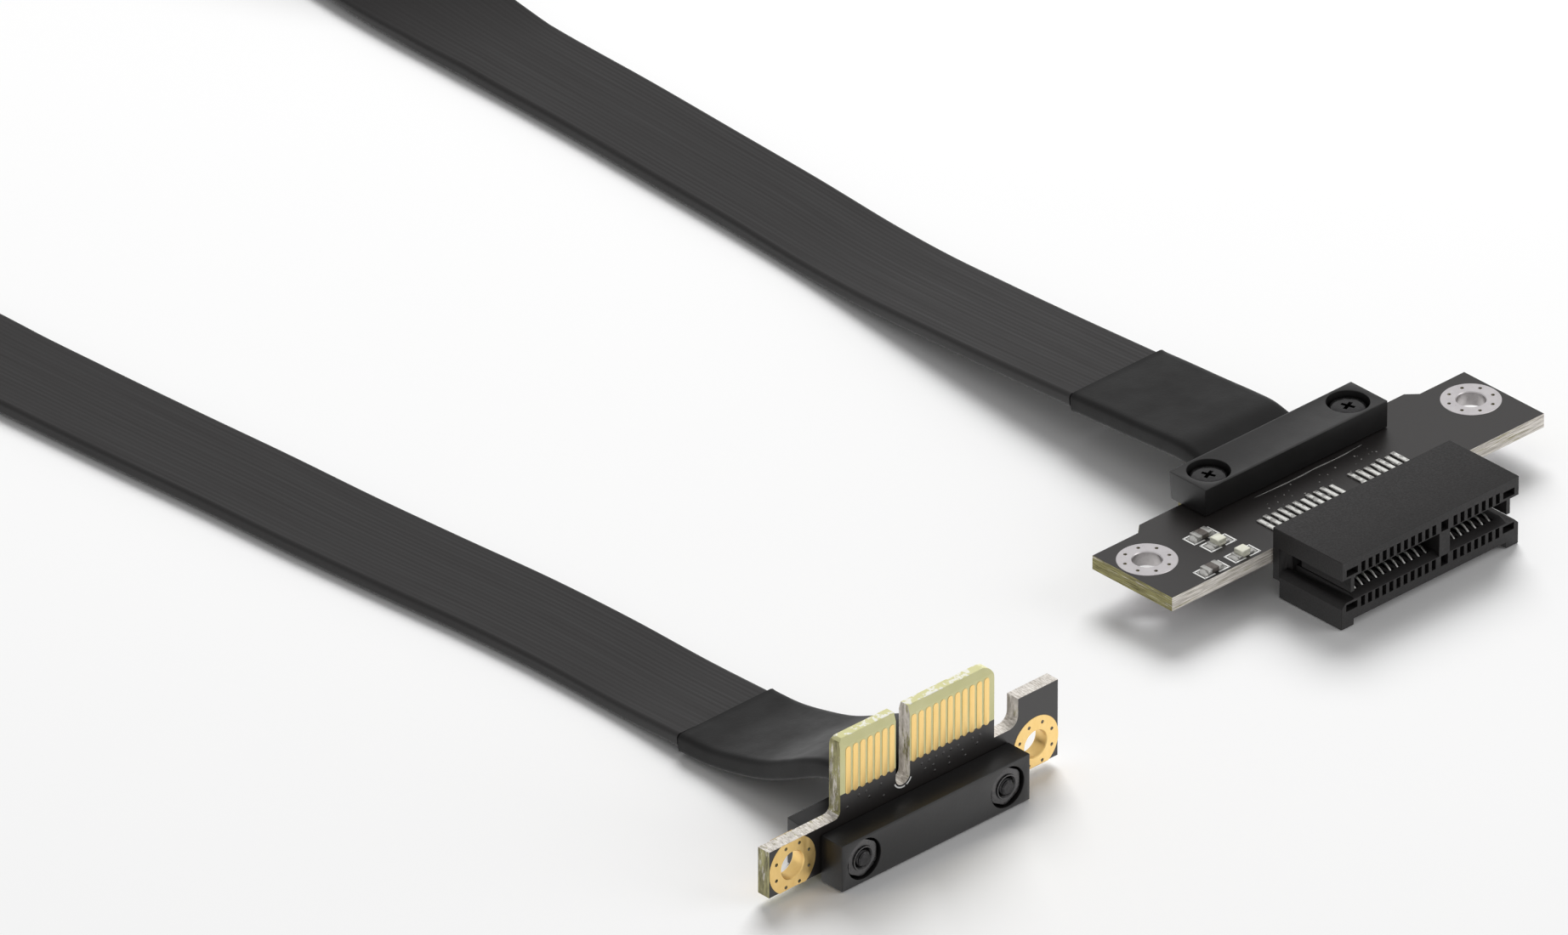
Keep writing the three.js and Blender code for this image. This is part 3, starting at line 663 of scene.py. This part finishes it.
def solder_drop(size, place, segments, rings):
    """Half of a flattened ball on height 0, by its half sizes and its middle."""
    bpy.ops.mesh.primitive_uv_sphere_add(segments=segments, ring_count=rings, radius=1)
    piece = bpy.context.object
    piece.scale = Vector(size) * mm
    piece.location = Vector(place) * mm
    bpy.ops.object.transform_apply()
    with editing(piece):
        bpy.ops.mesh.bisect(plane_co=(0, 0, 0), plane_no=(0, 0, 1), use_fill=True, clear_inner=True)
    return piece


def printed_frame(name):
    """Two open brackets of white ink that face each other, standing on height 0."""
    bars = []
    for side in (-1, 1):
        left, right = sorted((side * frame_reach_x, side * (frame_reach_x - frame_stroke)))
        bars.append(block((left, -frame_reach_y, -0.01), (right, frame_reach_y, print_rise)))
        for edge in (-1, 1):
            start, end = side * frame_gap, side * (frame_reach_x - frame_stroke / 2)
            high, low = edge * frame_reach_y, edge * (frame_reach_y - frame_stroke)
            corner_low = (min(start, end), min(low, high), -0.01)
            bars.append(block(corner_low, (max(start, end), max(low, high), print_rise)))
    return bevelled(joined(bars, name), 0.01, 1)


ink = Finish("white_print")
ink_grain = ink.noise(4000, 3.0)
ink.surface(
    Base_Color=ink.mixed(ink_grain, paint(226, 226, 224), paint(250, 250, 248)),
    Roughness=0.6,
    Normal=ink.bump(ink_grain, 0.006 * mm),
)
solder = Finish("solder")
ripple = solder.noise(1600, 4.0, 0.6)
solder.surface(
    Base_Color=solder.mixed(ripple, paint(138, 137, 135), paint(206, 205, 201)),
    Metallic=0.9,
    Roughness=solder.ramp(ripple, [(0.35, 0.3), (0.65, 0.5)]),
    Normal=solder.bump(ripple, 0.09 * mm),
)
ceramic = Finish("chip_ceramic")
ceramic_grain = ceramic.noise(3000, 4.0)
ceramic.surface(
    Base_Color=ceramic.mixed(ceramic_grain, paint(34, 30, 28), paint(112, 104, 98)),
    Roughness=0.45,
    Normal=ceramic.bump(ceramic_grain, 0.01 * mm),
)
resin = Finish("diode_resin")
cloud = resin.noise(1500, 3.0)
resin.surface(
    Base_Color=resin.mixed(cloud, paint(214, 213, 190), paint(240, 240, 226)),
    Roughness=0.22,
    Coat_Weight=resin.ramp(cloud, [(0.0, 0.5), (1.0, 0.9)]),
)

for node in ("resistor_back", "led_back", "led_front", "resistor_front"):
    low, high = span(node)
    centre = (low + high) / 2
    there = at(centre.x, centre.y, board_top)
    if node.startswith("led"):
        base_half = chip_length / 2 - 0.1
        body = block((-base_half, -chip_width / 2, chip_lift), (base_half, chip_width / 2, led_base_height))
        lens_side = chip_width / 2 - 0.02
        dome = block((-lens_half, -lens_side, 0.12), (lens_half, lens_side, lens_height))
        body = joined([bevelled(body, 0.02, 1), bevelled(dome, 0.12, 3)], f"{node}_body")
        seat(moved(body, there), resin.material, "lens", node)
    else:
        body_half = chip_length / 2 - 0.4
        body = block((-body_half, -chip_width / 2, chip_lift), (body_half, chip_width / 2, chip_height))
        seat(moved(bevelled(body, 0.03, 2), there), ceramic.material, "chip", node)
        body.name = f"{node}_body"
    ends = []
    for side in (-1, 1):
        x0, x1 = sorted((side * (chip_length / 2 - terminal_length), side * (chip_length / 2 + 0.02)))
        tall = led_end_height if node.startswith("led") else chip_height + 0.03
        y = chip_width / 2 + 0.01
        ends.append(bevelled(block((x0, -y, 0), (x1, y, tall)), 0.04, 2))
        wedge_size = (wedge_reach, chip_width * 0.95 / 2, tall * 0.85)
        wedge_place = (side * chip_length / 2 + side * wedge_shift, 0, 0)
        ends.append(solder_drop(wedge_size, wedge_place, 20, 12))
        pad_near, pad_far = sorted((side * chip_pad_from, side * chip_pad_to))
        pad = block((pad_near, -chip_pad_half, -0.01), (pad_far, chip_pad_half, 0.03))
        ends.append(bevelled(pad, 0.01, 1))
    seat(moved(joined(ends, f"{node}_ends"), there), solder.material, "silver")
    seat(moved(printed_frame(f"{node}_frame"), there), ink.material, "print")

# The slot is one moulding of glass-filled nylon, matt black with a fine grain. It has a window for every
# contact above and below the mouth, a hollow at each end and two feet, and is soldered by its contacts.
housing_edge = 0.07
housing_low, housing_high = span("slot_housing")


def edge_bevelled(piece, width, test, segments=2):
    """Breaks only the edges whose two ends pass the test, given in millimetres."""
    only(piece)
    bpy.ops.object.mode_set(mode="EDIT")
    bpy.ops.mesh.select_mode(type="EDGE")
    bpy.ops.mesh.select_all(action="DESELECT")
    bpy.ops.object.mode_set(mode="OBJECT")
    corners = [vertex.co / mm for vertex in piece.data.vertices]
    for edge in piece.data.edges:
        edge.select = test(corners[edge.vertices[0]], corners[edge.vertices[1]])
    bpy.ops.object.mode_set(mode="EDIT")
    bpy.ops.mesh.bevel(offset=width * mm, segments=segments, affect="EDGES", clamp_overlap=True)
    bpy.ops.object.mode_set(mode="OBJECT")
    return piece


def on_outer_corner(a, b):
    """True for an edge that lies on two of the housing's outer faces."""
    walls = (
        lambda v: abs(abs(v.x) - housing_high.x) < 0.01,
        lambda v: abs(v.y - housing_low.y) < 0.01,
        lambda v: abs(v.y - housing_high.y) < 0.01,
        lambda v: abs(v.z - housing_high.z) < 0.01,
    )
    return sum(wall(a) and wall(b) for wall in walls) > 1


moulding = Finish("slot_moulding")
grain = moulding.noise(5200, 3.0)
flow = moulding.noise(260, 3.0)
moulding.surface(
    Base_Color=moulding.mixed(flow, paint(22, 21, 21), paint(31, 29, 29)),
    Roughness=moulding.ramp(grain, [(0.3, 0.5), (0.7, 0.64)]),
    Normal=moulding.bump(grain, 0.014 * mm),
    Specular_IOR_Level=0.24,
)
housing = edge_bevelled(whole_copy("slot_housing", "slot_housing_dressed"), housing_edge, on_outer_corner)
seat(housing, moulding.material, "moulding", "slot_housing")

# Each contact is a strip of tinned bronze, bent once: a tail on its pad, a shank through the back wall,
# a belly that presses on the card and a tip behind the mouth. There are eighteen above and eighteen below.
contact_width = 0.4
contact_thickness = 0.2
contact_corner = 0.06
contact_lift = 0.05
contacts_in_row = 18
taper_start = 3.9
taper_length = 2.2
taper = 0.42
contact_line = [
    (-7.15, 0.9),
    (-8.4, 0.9),
    (-9.7, 0.9),
    (-10.7, 0.9),
    (-11.0, 0.95),
    (-11.45, 1.2),
    (-12.3, 1.2),
    (-13.15, 1.2),
    (-13.5, 1.45),
    (-13.85, 1.74),
    (-14.5, 1.74),
    (-16.9, 1.74),
    (-17.5, 1.62),
    (-18.3, 1.22),
    (-18.95, 0.84),
    (-19.3, 0.6),
    (-19.58, 0.53),
    (-19.9, 0.57),
    (-20.25, 0.76),
    (-20.7, 1.08),
]
bright_tin = Finish("contact_tin")
drawn = bright_tin.noise(2600, vector=bright_tin.stretched(bright_tin.place(), (1, 0.2, 1)))
bright_tin.mottled(drawn, (206, 206, 202), (238, 238, 234), 0.24, 0.38, Metallic=0.85)
slot_middle = (board_top + board_bottom) / 2
stations = smooth_route([(0, y, rise) for y, rise in contact_line], 0.16, Vector((1, 0, 0)))
contact_length = stations[-1][3]


def contact_section(distance):
    """The strip narrows from its spring to its tip."""
    share = min(max((distance - contact_length + taper_start) / taper_length, 0), 1)
    return flat_section(contact_width * (1 - taper * share), contact_thickness, contact_corner)


spring = swept("contact", stations, contact_section)
contact_columns = []
for row, sign in (("upper", 1), ("lower", -1)):
    for i in range(1, contacts_in_row + 1):
        node = f"contact_{row}_{i:02d}"
        low, high = span(node)
        x = (low.x + high.x) / 2
        piece = placed(f"spring_{row}_{i:02d}", spring.data.copy())
        there = at(x, 0, slot_middle + sign * contact_lift)
        moved(piece, there @ Matrix.Diagonal((1, 1, sign, 1)))
        seat(flawless(piece), bright_tin.material, "contact", node)
        if sign > 0:
            contact_columns.append(x)
bpy.data.objects.remove(spring)

# Every tail lies in solder on its own tinned pad. The joints are bright, uneven beads a little wider than
# the tail, on both faces of the board.
pad_width = 0.62
pad_height = 0.21
pad_start = -11.3
pad_end = -6.7
bead_height = 0.27
bead_start = 0.6
bead_step = 0.8
beads_on_pad = 3
bead_places = random.Random(7)
for row, sign, face in (("upper", 1, board_top), ("lower", -1, board_bottom)):
    beads = []
    for x in contact_columns:
        end = pad_end + bead_places.uniform(-0.25, 0.15)
        pad = block((x - pad_width / 2, pad_start, -0.01), (x + pad_width / 2, end, pad_height))
        edge_bevelled(pad, 0.12, lambda a, b: abs(a.z - b.z) > 0.01, 3)
        beads.append(bevelled(pad, 0.1, 2, 60))
        for k in range(beads_on_pad):
            length = bead_places.uniform(0.45, 0.75)
            width = pad_width * bead_places.uniform(0.36, 0.54)
            bead_size = (width, length, bead_height * bead_places.uniform(0.8, 1.2))
            bead_place = (x + bead_places.uniform(-0.07, 0.07), end - bead_start - bead_step * k, 0.0)
            beads.append(solder_drop(bead_size, bead_place, 16, 10))
    piece = joined(beads, f"solder_{row}")
    moved(piece, at(0, 0, face) @ Matrix.Diagonal((1, 1, sign, 1)))
    seat(flawless(piece), solder.material, "silver")

# Two bars of black plastic clamp the board and the ribbon's end between them. The upper one has a round
# recess for each screw head and a channel for the ribbon, the lower one a recess for each nut.
bar_edge = 0.1
bar_recess = 2.25
bar_hole = 1.25
screw_spacing = 19.7
channel_width = 14.0
channel_depth = 1.3
channel_length = 4.05
bar_lean = 0.35


def turned_span(node, turn):
    """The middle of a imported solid, and its sizes along the axes of a piece that is turned into it."""
    low, high = span(node)
    return (low + high) / 2, [abs(size) for size in turn.inverted().to_3x3() @ (high - low)]


def set_down(piece, middle, rise, turn):
    """Turns a piece that stands on height 0, and brings its point at that rise to the middle."""
    return moved(piece, Matrix.Translation((middle - turn.to_3x3() @ Vector((0, 0, rise))) * mm) @ turn)


def clamp_bar(node, recess_depth, has_channel, turn):
    """A bar that stands on its inner face at height 0, turned and moved into its node's place."""
    middle, (length, width, thickness) = turned_span(node, turn)
    bar = block((-length / 2, -width / 2, 0), (length / 2, width / 2, thickness))
    bar.name = f"{node}_bar"
    for vertex in bar.data.vertices:
        if vertex.co.y > 0 and vertex.co.z < 0.001 * mm and has_channel:
            vertex.co.y -= bar_lean * mm
    cutters = []
    if has_channel:
        start = width / 2 - channel_length
        cutters.append(block((-channel_width / 2, start, -1), (channel_width / 2, width, channel_depth)))
    for side in (-1, 1):
        x = side * screw_spacing / 2
        cutters.append(cylinder(bar_hole, -1, thickness + 1, x))
        cutters.append(cylinder(bar_recess, thickness - recess_depth, thickness + 1, x))
    carved(bar, *cutters)
    set_down(bevelled(bar, bar_edge, 3, 40), middle, thickness / 2, turn)
    seat(bar, satin.material, "clamp", node)


satin = Finish("clamp_satin")
fine = satin.noise(4200, 3.0)
wear = satin.noise(350, 4.0, 0.6)
satin_relief = satin.bump(fine * 0.5 + wear * 0.5, 0.014 * mm)
satin.mottled(wear, (15, 14, 14), (22, 21, 21), 0.34, 0.46, Normal=satin_relief, Specular_IOR_Level=0.31)
facing_up = Matrix.Identity(4)
facing_down = Matrix.Rotation(math.pi, 4, "X")
head_recess = 1.8
nut_recess = 1.9
clamp_bar("clamp_upper", head_recess, True, facing_up)
clamp_bar("clamp_lower", nut_recess, False, facing_down)

# The screws are blackened steel with a flat round head and a cross recess. Each goes through both bars
# and the board into a nut, and its threaded end stands a little out of the nut.
head_radius = 1.95
head_height = 1.25
shank_radius = 0.92
thread_depth = 0.13
thread_pitch = 0.4
cross_length = 2.3
cross_width = 0.46
cross_depth = 0.95


def cross_cutter():
    """The four-armed point of the driver that formed the recess, pointing down from height 0."""
    blades = []
    for turn in (0, 90):
        reach, half = cross_length / 2, cross_width / 2
        blade = block((-reach, -half, -cross_depth), (reach, half, 1))
        for vertex in blade.data.vertices:
            if vertex.co.z < 0:
                vertex.co.x *= 0.35
                vertex.co.y *= 0.8
        moved(blade, Matrix.Rotation(math.radians(turn), 4, "Z"))
        blades.append(blade)
    return carved(blades[0], blades[1], operation="UNION")


def machine_screw(name, length):
    """A screw that points down, with the underside of its head at height 0."""
    profile = [(0, -length), (shank_radius - 0.28, -length), (shank_radius - thread_depth, 0.15 - length)]
    turns = int((length - 0.35) / thread_pitch)
    for k in range(turns):
        height = 0.25 - length + k * thread_pitch
        profile.append((shank_radius - thread_depth, height))
        profile.append((shank_radius, height + 0.4 * thread_pitch))
        profile.append((shank_radius, height + 0.55 * thread_pitch))
    profile += [
        (shank_radius - 0.05, 0),
        (head_radius - 0.06, 0),
        (head_radius, 0.07),
        (head_radius, head_height - 0.3),
        (head_radius - 0.08, head_height - 0.12),
        (head_radius - 0.28, head_height - 0.02),
        (head_radius - 0.6, head_height + 0.02),
        (0, head_height + 0.02),
    ]
    screw = turned(name, profile, 48)
    cutter = moved(cross_cutter(), at(0, 0, head_height))
    cutter = moved(cutter, Matrix.Rotation(math.radians(20), 4, "Z"))
    return carved(screw, cutter)


blackened = Finish("blackened_steel")
oxide = blackened.noise(1800, 4.0)
rough_oxide = blackened.bump(oxide, 0.02 * mm)
blackened.mottled(oxide, (22, 22, 22), (58, 57, 58), 0.14, 0.3, Metallic=0.9, Normal=rough_oxide)


def seat_screws(prefix, turn):
    """The two screws of a clamp, in the places of their nodes. The turn takes down to the way they point."""
    for side in ("left", "right"):
        node = f"{prefix}_screw_{side}"
        middle, (_, _, length) = turned_span(node, turn)
        screw = machine_screw(f"{node}_turned", length - head_height)
        set_down(screw, middle, head_height - length / 2, turn)
        seat(screw, blackened.material, "black_steel", node)


seat_screws("clamp", facing_up)

# The nuts are blackened steel hexagons with rounded corners and a raised collar round the thread. Each is
# held from turning by its recess in the bar.
phosphated = Finish("phosphated_steel")
crystals = phosphated.noise(2600, 4.0)
crystal_relief = phosphated.bump(crystals, 0.012 * mm)
phosphated.mottled(crystals, (50, 49, 50), (86, 85, 85), 0.22, 0.4, Metallic=0.85, Normal=crystal_relief)
nut_flats = 3.9
nut_hole = 1.0
collar_radius = 1.45
collar_rise = 0.16


def hex_nut(name, thickness):
    """A nut that stands on height 0, with its collar on top."""
    corner = nut_flats / math.sqrt(3)
    nut = cylinder(corner, 0, thickness, sides=6)
    nut.name = name
    edge_bevelled(nut, 0.5, lambda a, b: abs(a.z - b.z) > 0.5, 5)
    bevelled(nut, 0.14, 2, 40)
    top = thickness + collar_rise
    collar = cylinder(collar_radius, thickness - 0.2, top, top_radius=collar_radius - 0.12)
    carved(nut, collar, operation="UNION")
    dish = cylinder(nut_hole, thickness - 0.12, top + 0.02, top_radius=nut_hole + 0.22)
    return carved(nut, cylinder(nut_hole, -1, thickness + 1), dish)


def seat_nuts(prefix, turn):
    """The two nuts of a clamp, in the places of their nodes. The turn takes up to the way they face."""
    for side in ("left", "right"):
        node = f"{prefix}_nut_{side}"
        middle, (_, _, thickness) = turned_span(node, turn)
        nut = set_down(hex_nut(f"{node}_pressed", thickness), middle, thickness / 2, turn)
        seat(nut, phosphated.material, "black_steel", node)


seat_nuts("clamp", facing_down)

# A bead of clear glue seals the front of the upper bar to the board. It dried thin and glossy, with a
# wavy edge and a few stray drops beside it.
glue = Finish("clear_glue")
glue_relief_and_highlight = glue.noise(600, 3.0)
glue.surface(
    # The pale grey base colour is a painted highlight, standing in for the glint on the clear glue. The
    # stray drops share it.
    Base_Color=glue.mixed(glue_relief_and_highlight, paint(70, 69, 68), paint(176, 174, 170)),
    Roughness=0.1,
    Coat_Weight=glue.ramp(glue_relief_and_highlight, [(0.2, 0.6), (0.8, 1.0)]),
    Normal=glue.bump(glue_relief_and_highlight, 0.05 * mm),
)
glue_line = [
    (-6.6, -3.3, 5.1),
    (-4.0, -3.42, 5.11),
    (-1.0, -3.5, 5.12),
    (2.0, -3.42, 5.12),
    (5.0, -3.5, 5.11),
    (8.6, -3.3, 5.1),
]
glue_stations = smooth_route(glue_line, 0.4)
glue_length = glue_stations[-1][3]


def glue_outline(distance):
    """The bead tapers to nothing at both ends."""
    swell = 0.2 + 0.8 * math.sin(math.pi * distance / glue_length) ** 0.5
    wave = 1 + 0.25 * math.sin(distance * 2.1)
    return flat_section(0.16 * swell * wave, 0.1 * swell, 0.045 * swell)


glue_bead = swept("glue_bead", glue_stations, glue_outline)
drop_count = 26
drop_places = random.Random(11)
drops = [glue_bead]
for _ in range(drop_count):
    bpy.ops.mesh.primitive_ico_sphere_add(subdivisions=2, radius=1)
    drop = bpy.context.object
    size = drop_places.uniform(0.04, 0.1)
    drop.scale = Vector((size, size * drop_places.uniform(0.7, 1.4), 0.035)) * mm
    drop.location = Vector((drop_places.uniform(-7, 9), drop_places.uniform(-6.4, -3.6), board_top)) * mm
    bpy.ops.object.transform_apply()
    drops.append(drop)
seat(joined(drops, "glue_bead"), glue.material, "clamp")

# The sleeve is a short length of black shrink tube over the ribbon's end. It hugs the ribbon, shows a
# thin raised rim at its mouth and bends down between the clamp bars, where the wires go to the board.
sleeve_width = 13.3
sleeve_thickness = 2.1
sleeve_corner = 0.6
rim_length = 0.5
sleeve_route = [
    (0.3, 23.5, 4.55),
    (0.25, 19.8, 4.85),
    (0.15, 14.3, 5.25),
    (0.05, 9.55, 5.65),
    (0, 7.05, 5.75),
    (0, 5.55, 5.45),
    (0, 3.65, 5.0),
    (0, 2.15, 5.0),
]
level_across = Vector((1, 0, 0))


def shrunk_tube(name, route, hump, seed):
    """A sleeve along its route. Its wall swells over the hump and creases a little beside it."""
    stations = smooth_route(route, 0.35, level_across)
    base = flat_section(sleeve_width, sleeve_thickness, sleeve_corner)
    steps = 30
    half = sleeve_width / 2 - sleeve_corner
    top = [(half - 2 * half * k / steps, sleeve_thickness / 2) for k in range(1, steps)]
    bottom = [(-x, -y) for x, y in top]
    outline = base[:8] + top + base[8:] + bottom
    length = stations[-1][3]
    noise = random.Random(seed)
    waves = [(noise.uniform(0.15, 0.5), noise.uniform(-0.5, 0.5), noise.uniform(0, 6.28)) for _ in range(5)]

    def section_at(distance):
        rim = 0.0 if distance > rim_length else 0.06 * (1 - distance / rim_length)
        near = math.exp(-(((distance - hump) / 2.2) ** 2))
        points = []
        for x, y in outline:
            dent = sum(math.sin(distance * a + x * b + c) for a, b, c in waves) / 5
            swell = 0.03 * dent * (1 + near) * (1 if abs(y) > 0.4 else 0.3)
            points.append((x * (1 + rim / 12), y + math.copysign(rim + swell, y)))
        return points

    return swept(name, stations, section_at)


shrink = Finish("shrink_tube")
haze = shrink.noise(240, 4.0)
skin = shrink.noise(3200, 2.0)
soft_waves = shrink.bump(haze * 0.7 + skin * 0.3, 0.03 * mm)
shrink.mottled(haze, (14, 14, 14), (21, 20, 20), 0.42, 0.56, Normal=soft_waves, Specular_IOR_Level=0.15)
slot_sleeve = shrunk_tube("slot_sleeve_tube", sleeve_route, 15.5, 3)
seat(slot_sleeve, shrink.material, "sleeve", "slot_sleeve", smooth=50)

# The card end's board has the same black mask, but none on its two tabs, where the bare laminate shows
# between the gold fingers. The key notch parts seven fingers from eleven, as the slot's contacts are.
card_mask = Finish("card_board_mask")
place = card_mask.axes(card_mask.place())
facing = card_mask.axes(card_mask.node("ShaderNodeNewGeometry", {}, {}, "Normal"))
card_low, card_high = span("card_board")
mask_line = 8.72
tab_left = -81.0
tab_right = -59.5
on_tab = (place[2] > mask_line * mm) * (place[0] > tab_left * mm) * (place[0] < tab_right * mm)
on_front = abs(facing[1]) > 0.85
masked = on_front * (1 - on_tab)
is_bare_face = on_tab * ((abs(facing[1]) > 0.1) + (facing[2] > 0.6))
on_rim = (place[2] > (card_high.z - 0.1) * mm) * (facing[2] > 0.6)
cloudy = card_mask.noise(420, 4.0)
bare_face = card_mask.mixed(cloudy, paint(212, 209, 148), paint(232, 229, 178))
chips_off = card_mask.ramp(card_mask.noise(1500, 4.0), [(0.5, 0.0), (0.56, 1.0)])
bare_face = card_mask.mixed(chips_off * on_rim, bare_face, paint(248, 247, 236))
# Top faces, and every edge right of this line, get more of the pale scuffed colour. That is painted light,
# and it leaves the left end darker.
painted_lit_from = -79.0
painted_lit_edge = (facing[2] > 0.6) + (place[0] > painted_lit_from * mm)
edge_colour = laminate_edge(card_mask, (2.0, 0.5, 0.12), painted_lit_edge)
bare = card_mask.mixed(is_bare_face, edge_colour, bare_face)
card_mask.surface(
    Base_Color=card_mask.mixed(masked, bare, paint(27, 24, 23)),
    Roughness=0.5 - masked * 0.14,
    Normal=card_mask.bump(cloudy, 0.01 * mm),
    Specular_IOR_Level=0.4,
)
card_board = bevelled(whole_copy("card_board", "card_board_dressed"), board_edge, 1)

# The fingers and rings are plated with gold. Each finger is a strip with a round upper end that starts
# under the mask, and both faces of the board carry the same eighteen.
card_middle = -72.24
finger_width = 0.7
finger_bottom = 8.5
finger_top = 13.95
finger_rise = 0.05
front_face = card_low.y
rear_face = card_high.y
card_faces = (("front", front_face, -1), ("rear", rear_face, 1))
gold = Finish("gold_plate")
polish = gold.noise(1500, 4.0, vector=gold.stretched(gold.place(), (1, 1, 0.3)))
brushed = gold.bump(polish, 0.012 * mm)
gold.mottled(polish, (208, 170, 96), (230, 202, 140), 0.3, 0.5, Metallic=0.75, Normal=brushed)
finger_columns = [-7.5 + k for k in range(7)] + [1.5 + k for k in range(11)]
for face_name, face_y, out in card_faces:
    fingers = []
    for column in finger_columns:
        x = card_middle + column
        y0, y1 = sorted((face_y - out * 0.02, face_y + out * finger_rise))
        finger = block((x - finger_width / 2, y0, finger_bottom), (x + finger_width / 2, y1, finger_top))
        edge_bevelled(finger, finger_width / 2 - 0.005, lambda a, b: abs(a.y - b.y) > 0.01, 8)
        fingers.append(bevelled(finger, 0.02, 2, 60))
    seat(joined(fingers, f"gold_fingers_{face_name}"), gold.material, "gold")

# The card board's two mounting holes are plated with gold. The rings are wider than the board's ears, so
# the router cut them off level with the edges.
card_hole_height = 3.45
card_hole_middle = card_middle + 1.6
card_hole_spacing = 33.4
left_ear_top = 6.2
ring_setback = 0.02


def cut_level(piece, place, outwards):
    """Cuts off what lies beyond a plane, and closes the cut."""
    with editing(piece):
        bpy.ops.mesh.bisect(plane_co=Vector(place) * mm, plane_no=outwards, use_fill=True, clear_outer=True)
    return piece


standing = Matrix.Rotation(math.pi / 2, 4, "X")
for side, name in ((-1, "left"), (1, "right")):
    ring = plated_hole(f"card_ring_{name}", rear_face - front_face)
    x = card_hole_middle + side * card_hole_spacing / 2
    there = at(x, rear_face, card_hole_height) @ standing
    carved(card_board, moved(stitch_drill(stitch_radius + plating_wall, rear_face - front_face), there))
    moved(ring, there)
    cut_level(ring, (0, 0, card_low.z + ring_setback), (0, 0, -1))
    if side < 0:
        cut_level(ring, (0, 0, left_ear_top - ring_setback), (0, 0, 1))
        cut_level(ring, (card_low.x + ring_setback, 0, 0), (-1, 0, 0))
    else:
        cut_level(ring, (card_high.x - ring_setback, 0, 0), (1, 0, 0))
    seat(flawless(ring), gold.material, "gold")
seat(card_board, card_mask.material, "board", "card_board")

# A white printed arc follows the foot of the key notch, and small holes with mask over them, where the
# tracks change sides, lie in rows under the fingers.
notch_radius = 0.95
notch_centre = 7.4
arc_gap = 0.2
arc_stroke = 0.16
arc_from = 205
arc_to = 335
arc_corners = []
arc_steps = 24
for k in range(arc_steps + 1):
    angle = math.radians(arc_from + (arc_to - arc_from) * k / arc_steps)
    for radius in (notch_radius + arc_gap, notch_radius + arc_gap + arc_stroke):
        arc_corners.append((card_middle + radius * math.cos(angle), notch_centre + radius * math.sin(angle)))
for face_name, face_y, out in card_faces:
    mesh = bpy.data.meshes.new(f"print_arc_{face_name}")
    verts = [Vector((x, face_y + out * print_rise, z)) * mm for x, z in arc_corners]
    faces = [(2 * k, 2 * k + 1, 2 * k + 3, 2 * k + 2) for k in range(arc_steps)]
    mesh.from_pydata(verts, [], faces if out < 0 else [face[::-1] for face in faces])
    arc = placed(f"print_arc_{face_name}", mesh)
    inwards = {"value": (0, -out * (print_rise + 0.01) * mm, 0)}
    with editing(arc):
        bpy.ops.mesh.extrude_region_move(TRANSFORM_OT_translate=inwards)
    seat(flawless(arc), ink.material, "print")

via_radius = 0.17
via_rise = 0.07
via_profile = [(0, via_rise), (0.09, 0.06), (via_radius, 0.0), (via_radius, -0.01), (0, -0.01)]
via_rows = [
    (7.75, [-6.0, -5.0, -3.0, 2.6, 3.6, 4.6, 5.6, 6.6, 7.6, 9.6, 10.6]),
    (6.95, [-7.6, -4.6, 3.1, 4.2, 6.3, 8.2, 10.2]),
    (6.2, [-2.6, 0.4, 4.4, 6.4, 8.6]),
]
tented = Finish("covered_hole_mask")
tented_grain = tented.noise(2400, 2.0)
tented.mottled(tented_grain, (22, 20, 19), (34, 31, 30), 0.2, 0.34)
for face_name, face_y, out in card_faces:
    domes = []
    for height, columns in via_rows:
        for column in columns:
            dome = turned("dome", via_profile, 14)
            domes.append(moved(dome, at(card_middle + column, 0, height) @ standing))
    piece = joined(domes, f"covered_holes_{face_name}")
    if out > 0:
        moved(piece, Matrix.Diagonal((1, -1, 1, 1)))
    moved(piece, at(0, face_y, 0))
    seat(flawless(piece), tented.material, "board")

# The card end's clamp is the same pair of bars on edge: the front one holds the nuts and the rear one
# the screw heads and the ribbon's channel. Both stand on the table.
facing_front = standing
facing_rear = Matrix.Rotation(math.pi, 4, "Z") @ standing
clamp_bar("card_clamp_front", nut_recess, False, facing_front)
clamp_bar("card_clamp_rear", head_recess, True, facing_rear)
seat_screws("card", facing_rear)
seat_nuts("card", facing_front)

# The card end's sleeve rises from the table behind the board, passes over the rear bar in a round bend
# and comes down between the bar and the board.
card_sleeve_route = [
    (-70.64, 6.5, 1.35),
    (-70.64, 2.5, 1.55),
    (-70.64, -1.0, 2.2),
    (-70.64, -5.5, 3.45),
    (-70.64, -8.95, 5.0),
    (-70.64, -11.85, 6.5),
    (-70.64, -14.15, 7.4),
    (-70.64, -15.95, 7.55),
    (-70.64, -17.25, 7.0),
    (-70.64, -17.55, 5.9),
]
card_sleeve = shrunk_tube("card_sleeve_tube", card_sleeve_route, 17.0, 5)
seat(card_sleeve, shrink.material, "sleeve", "card_sleeve", smooth=50)
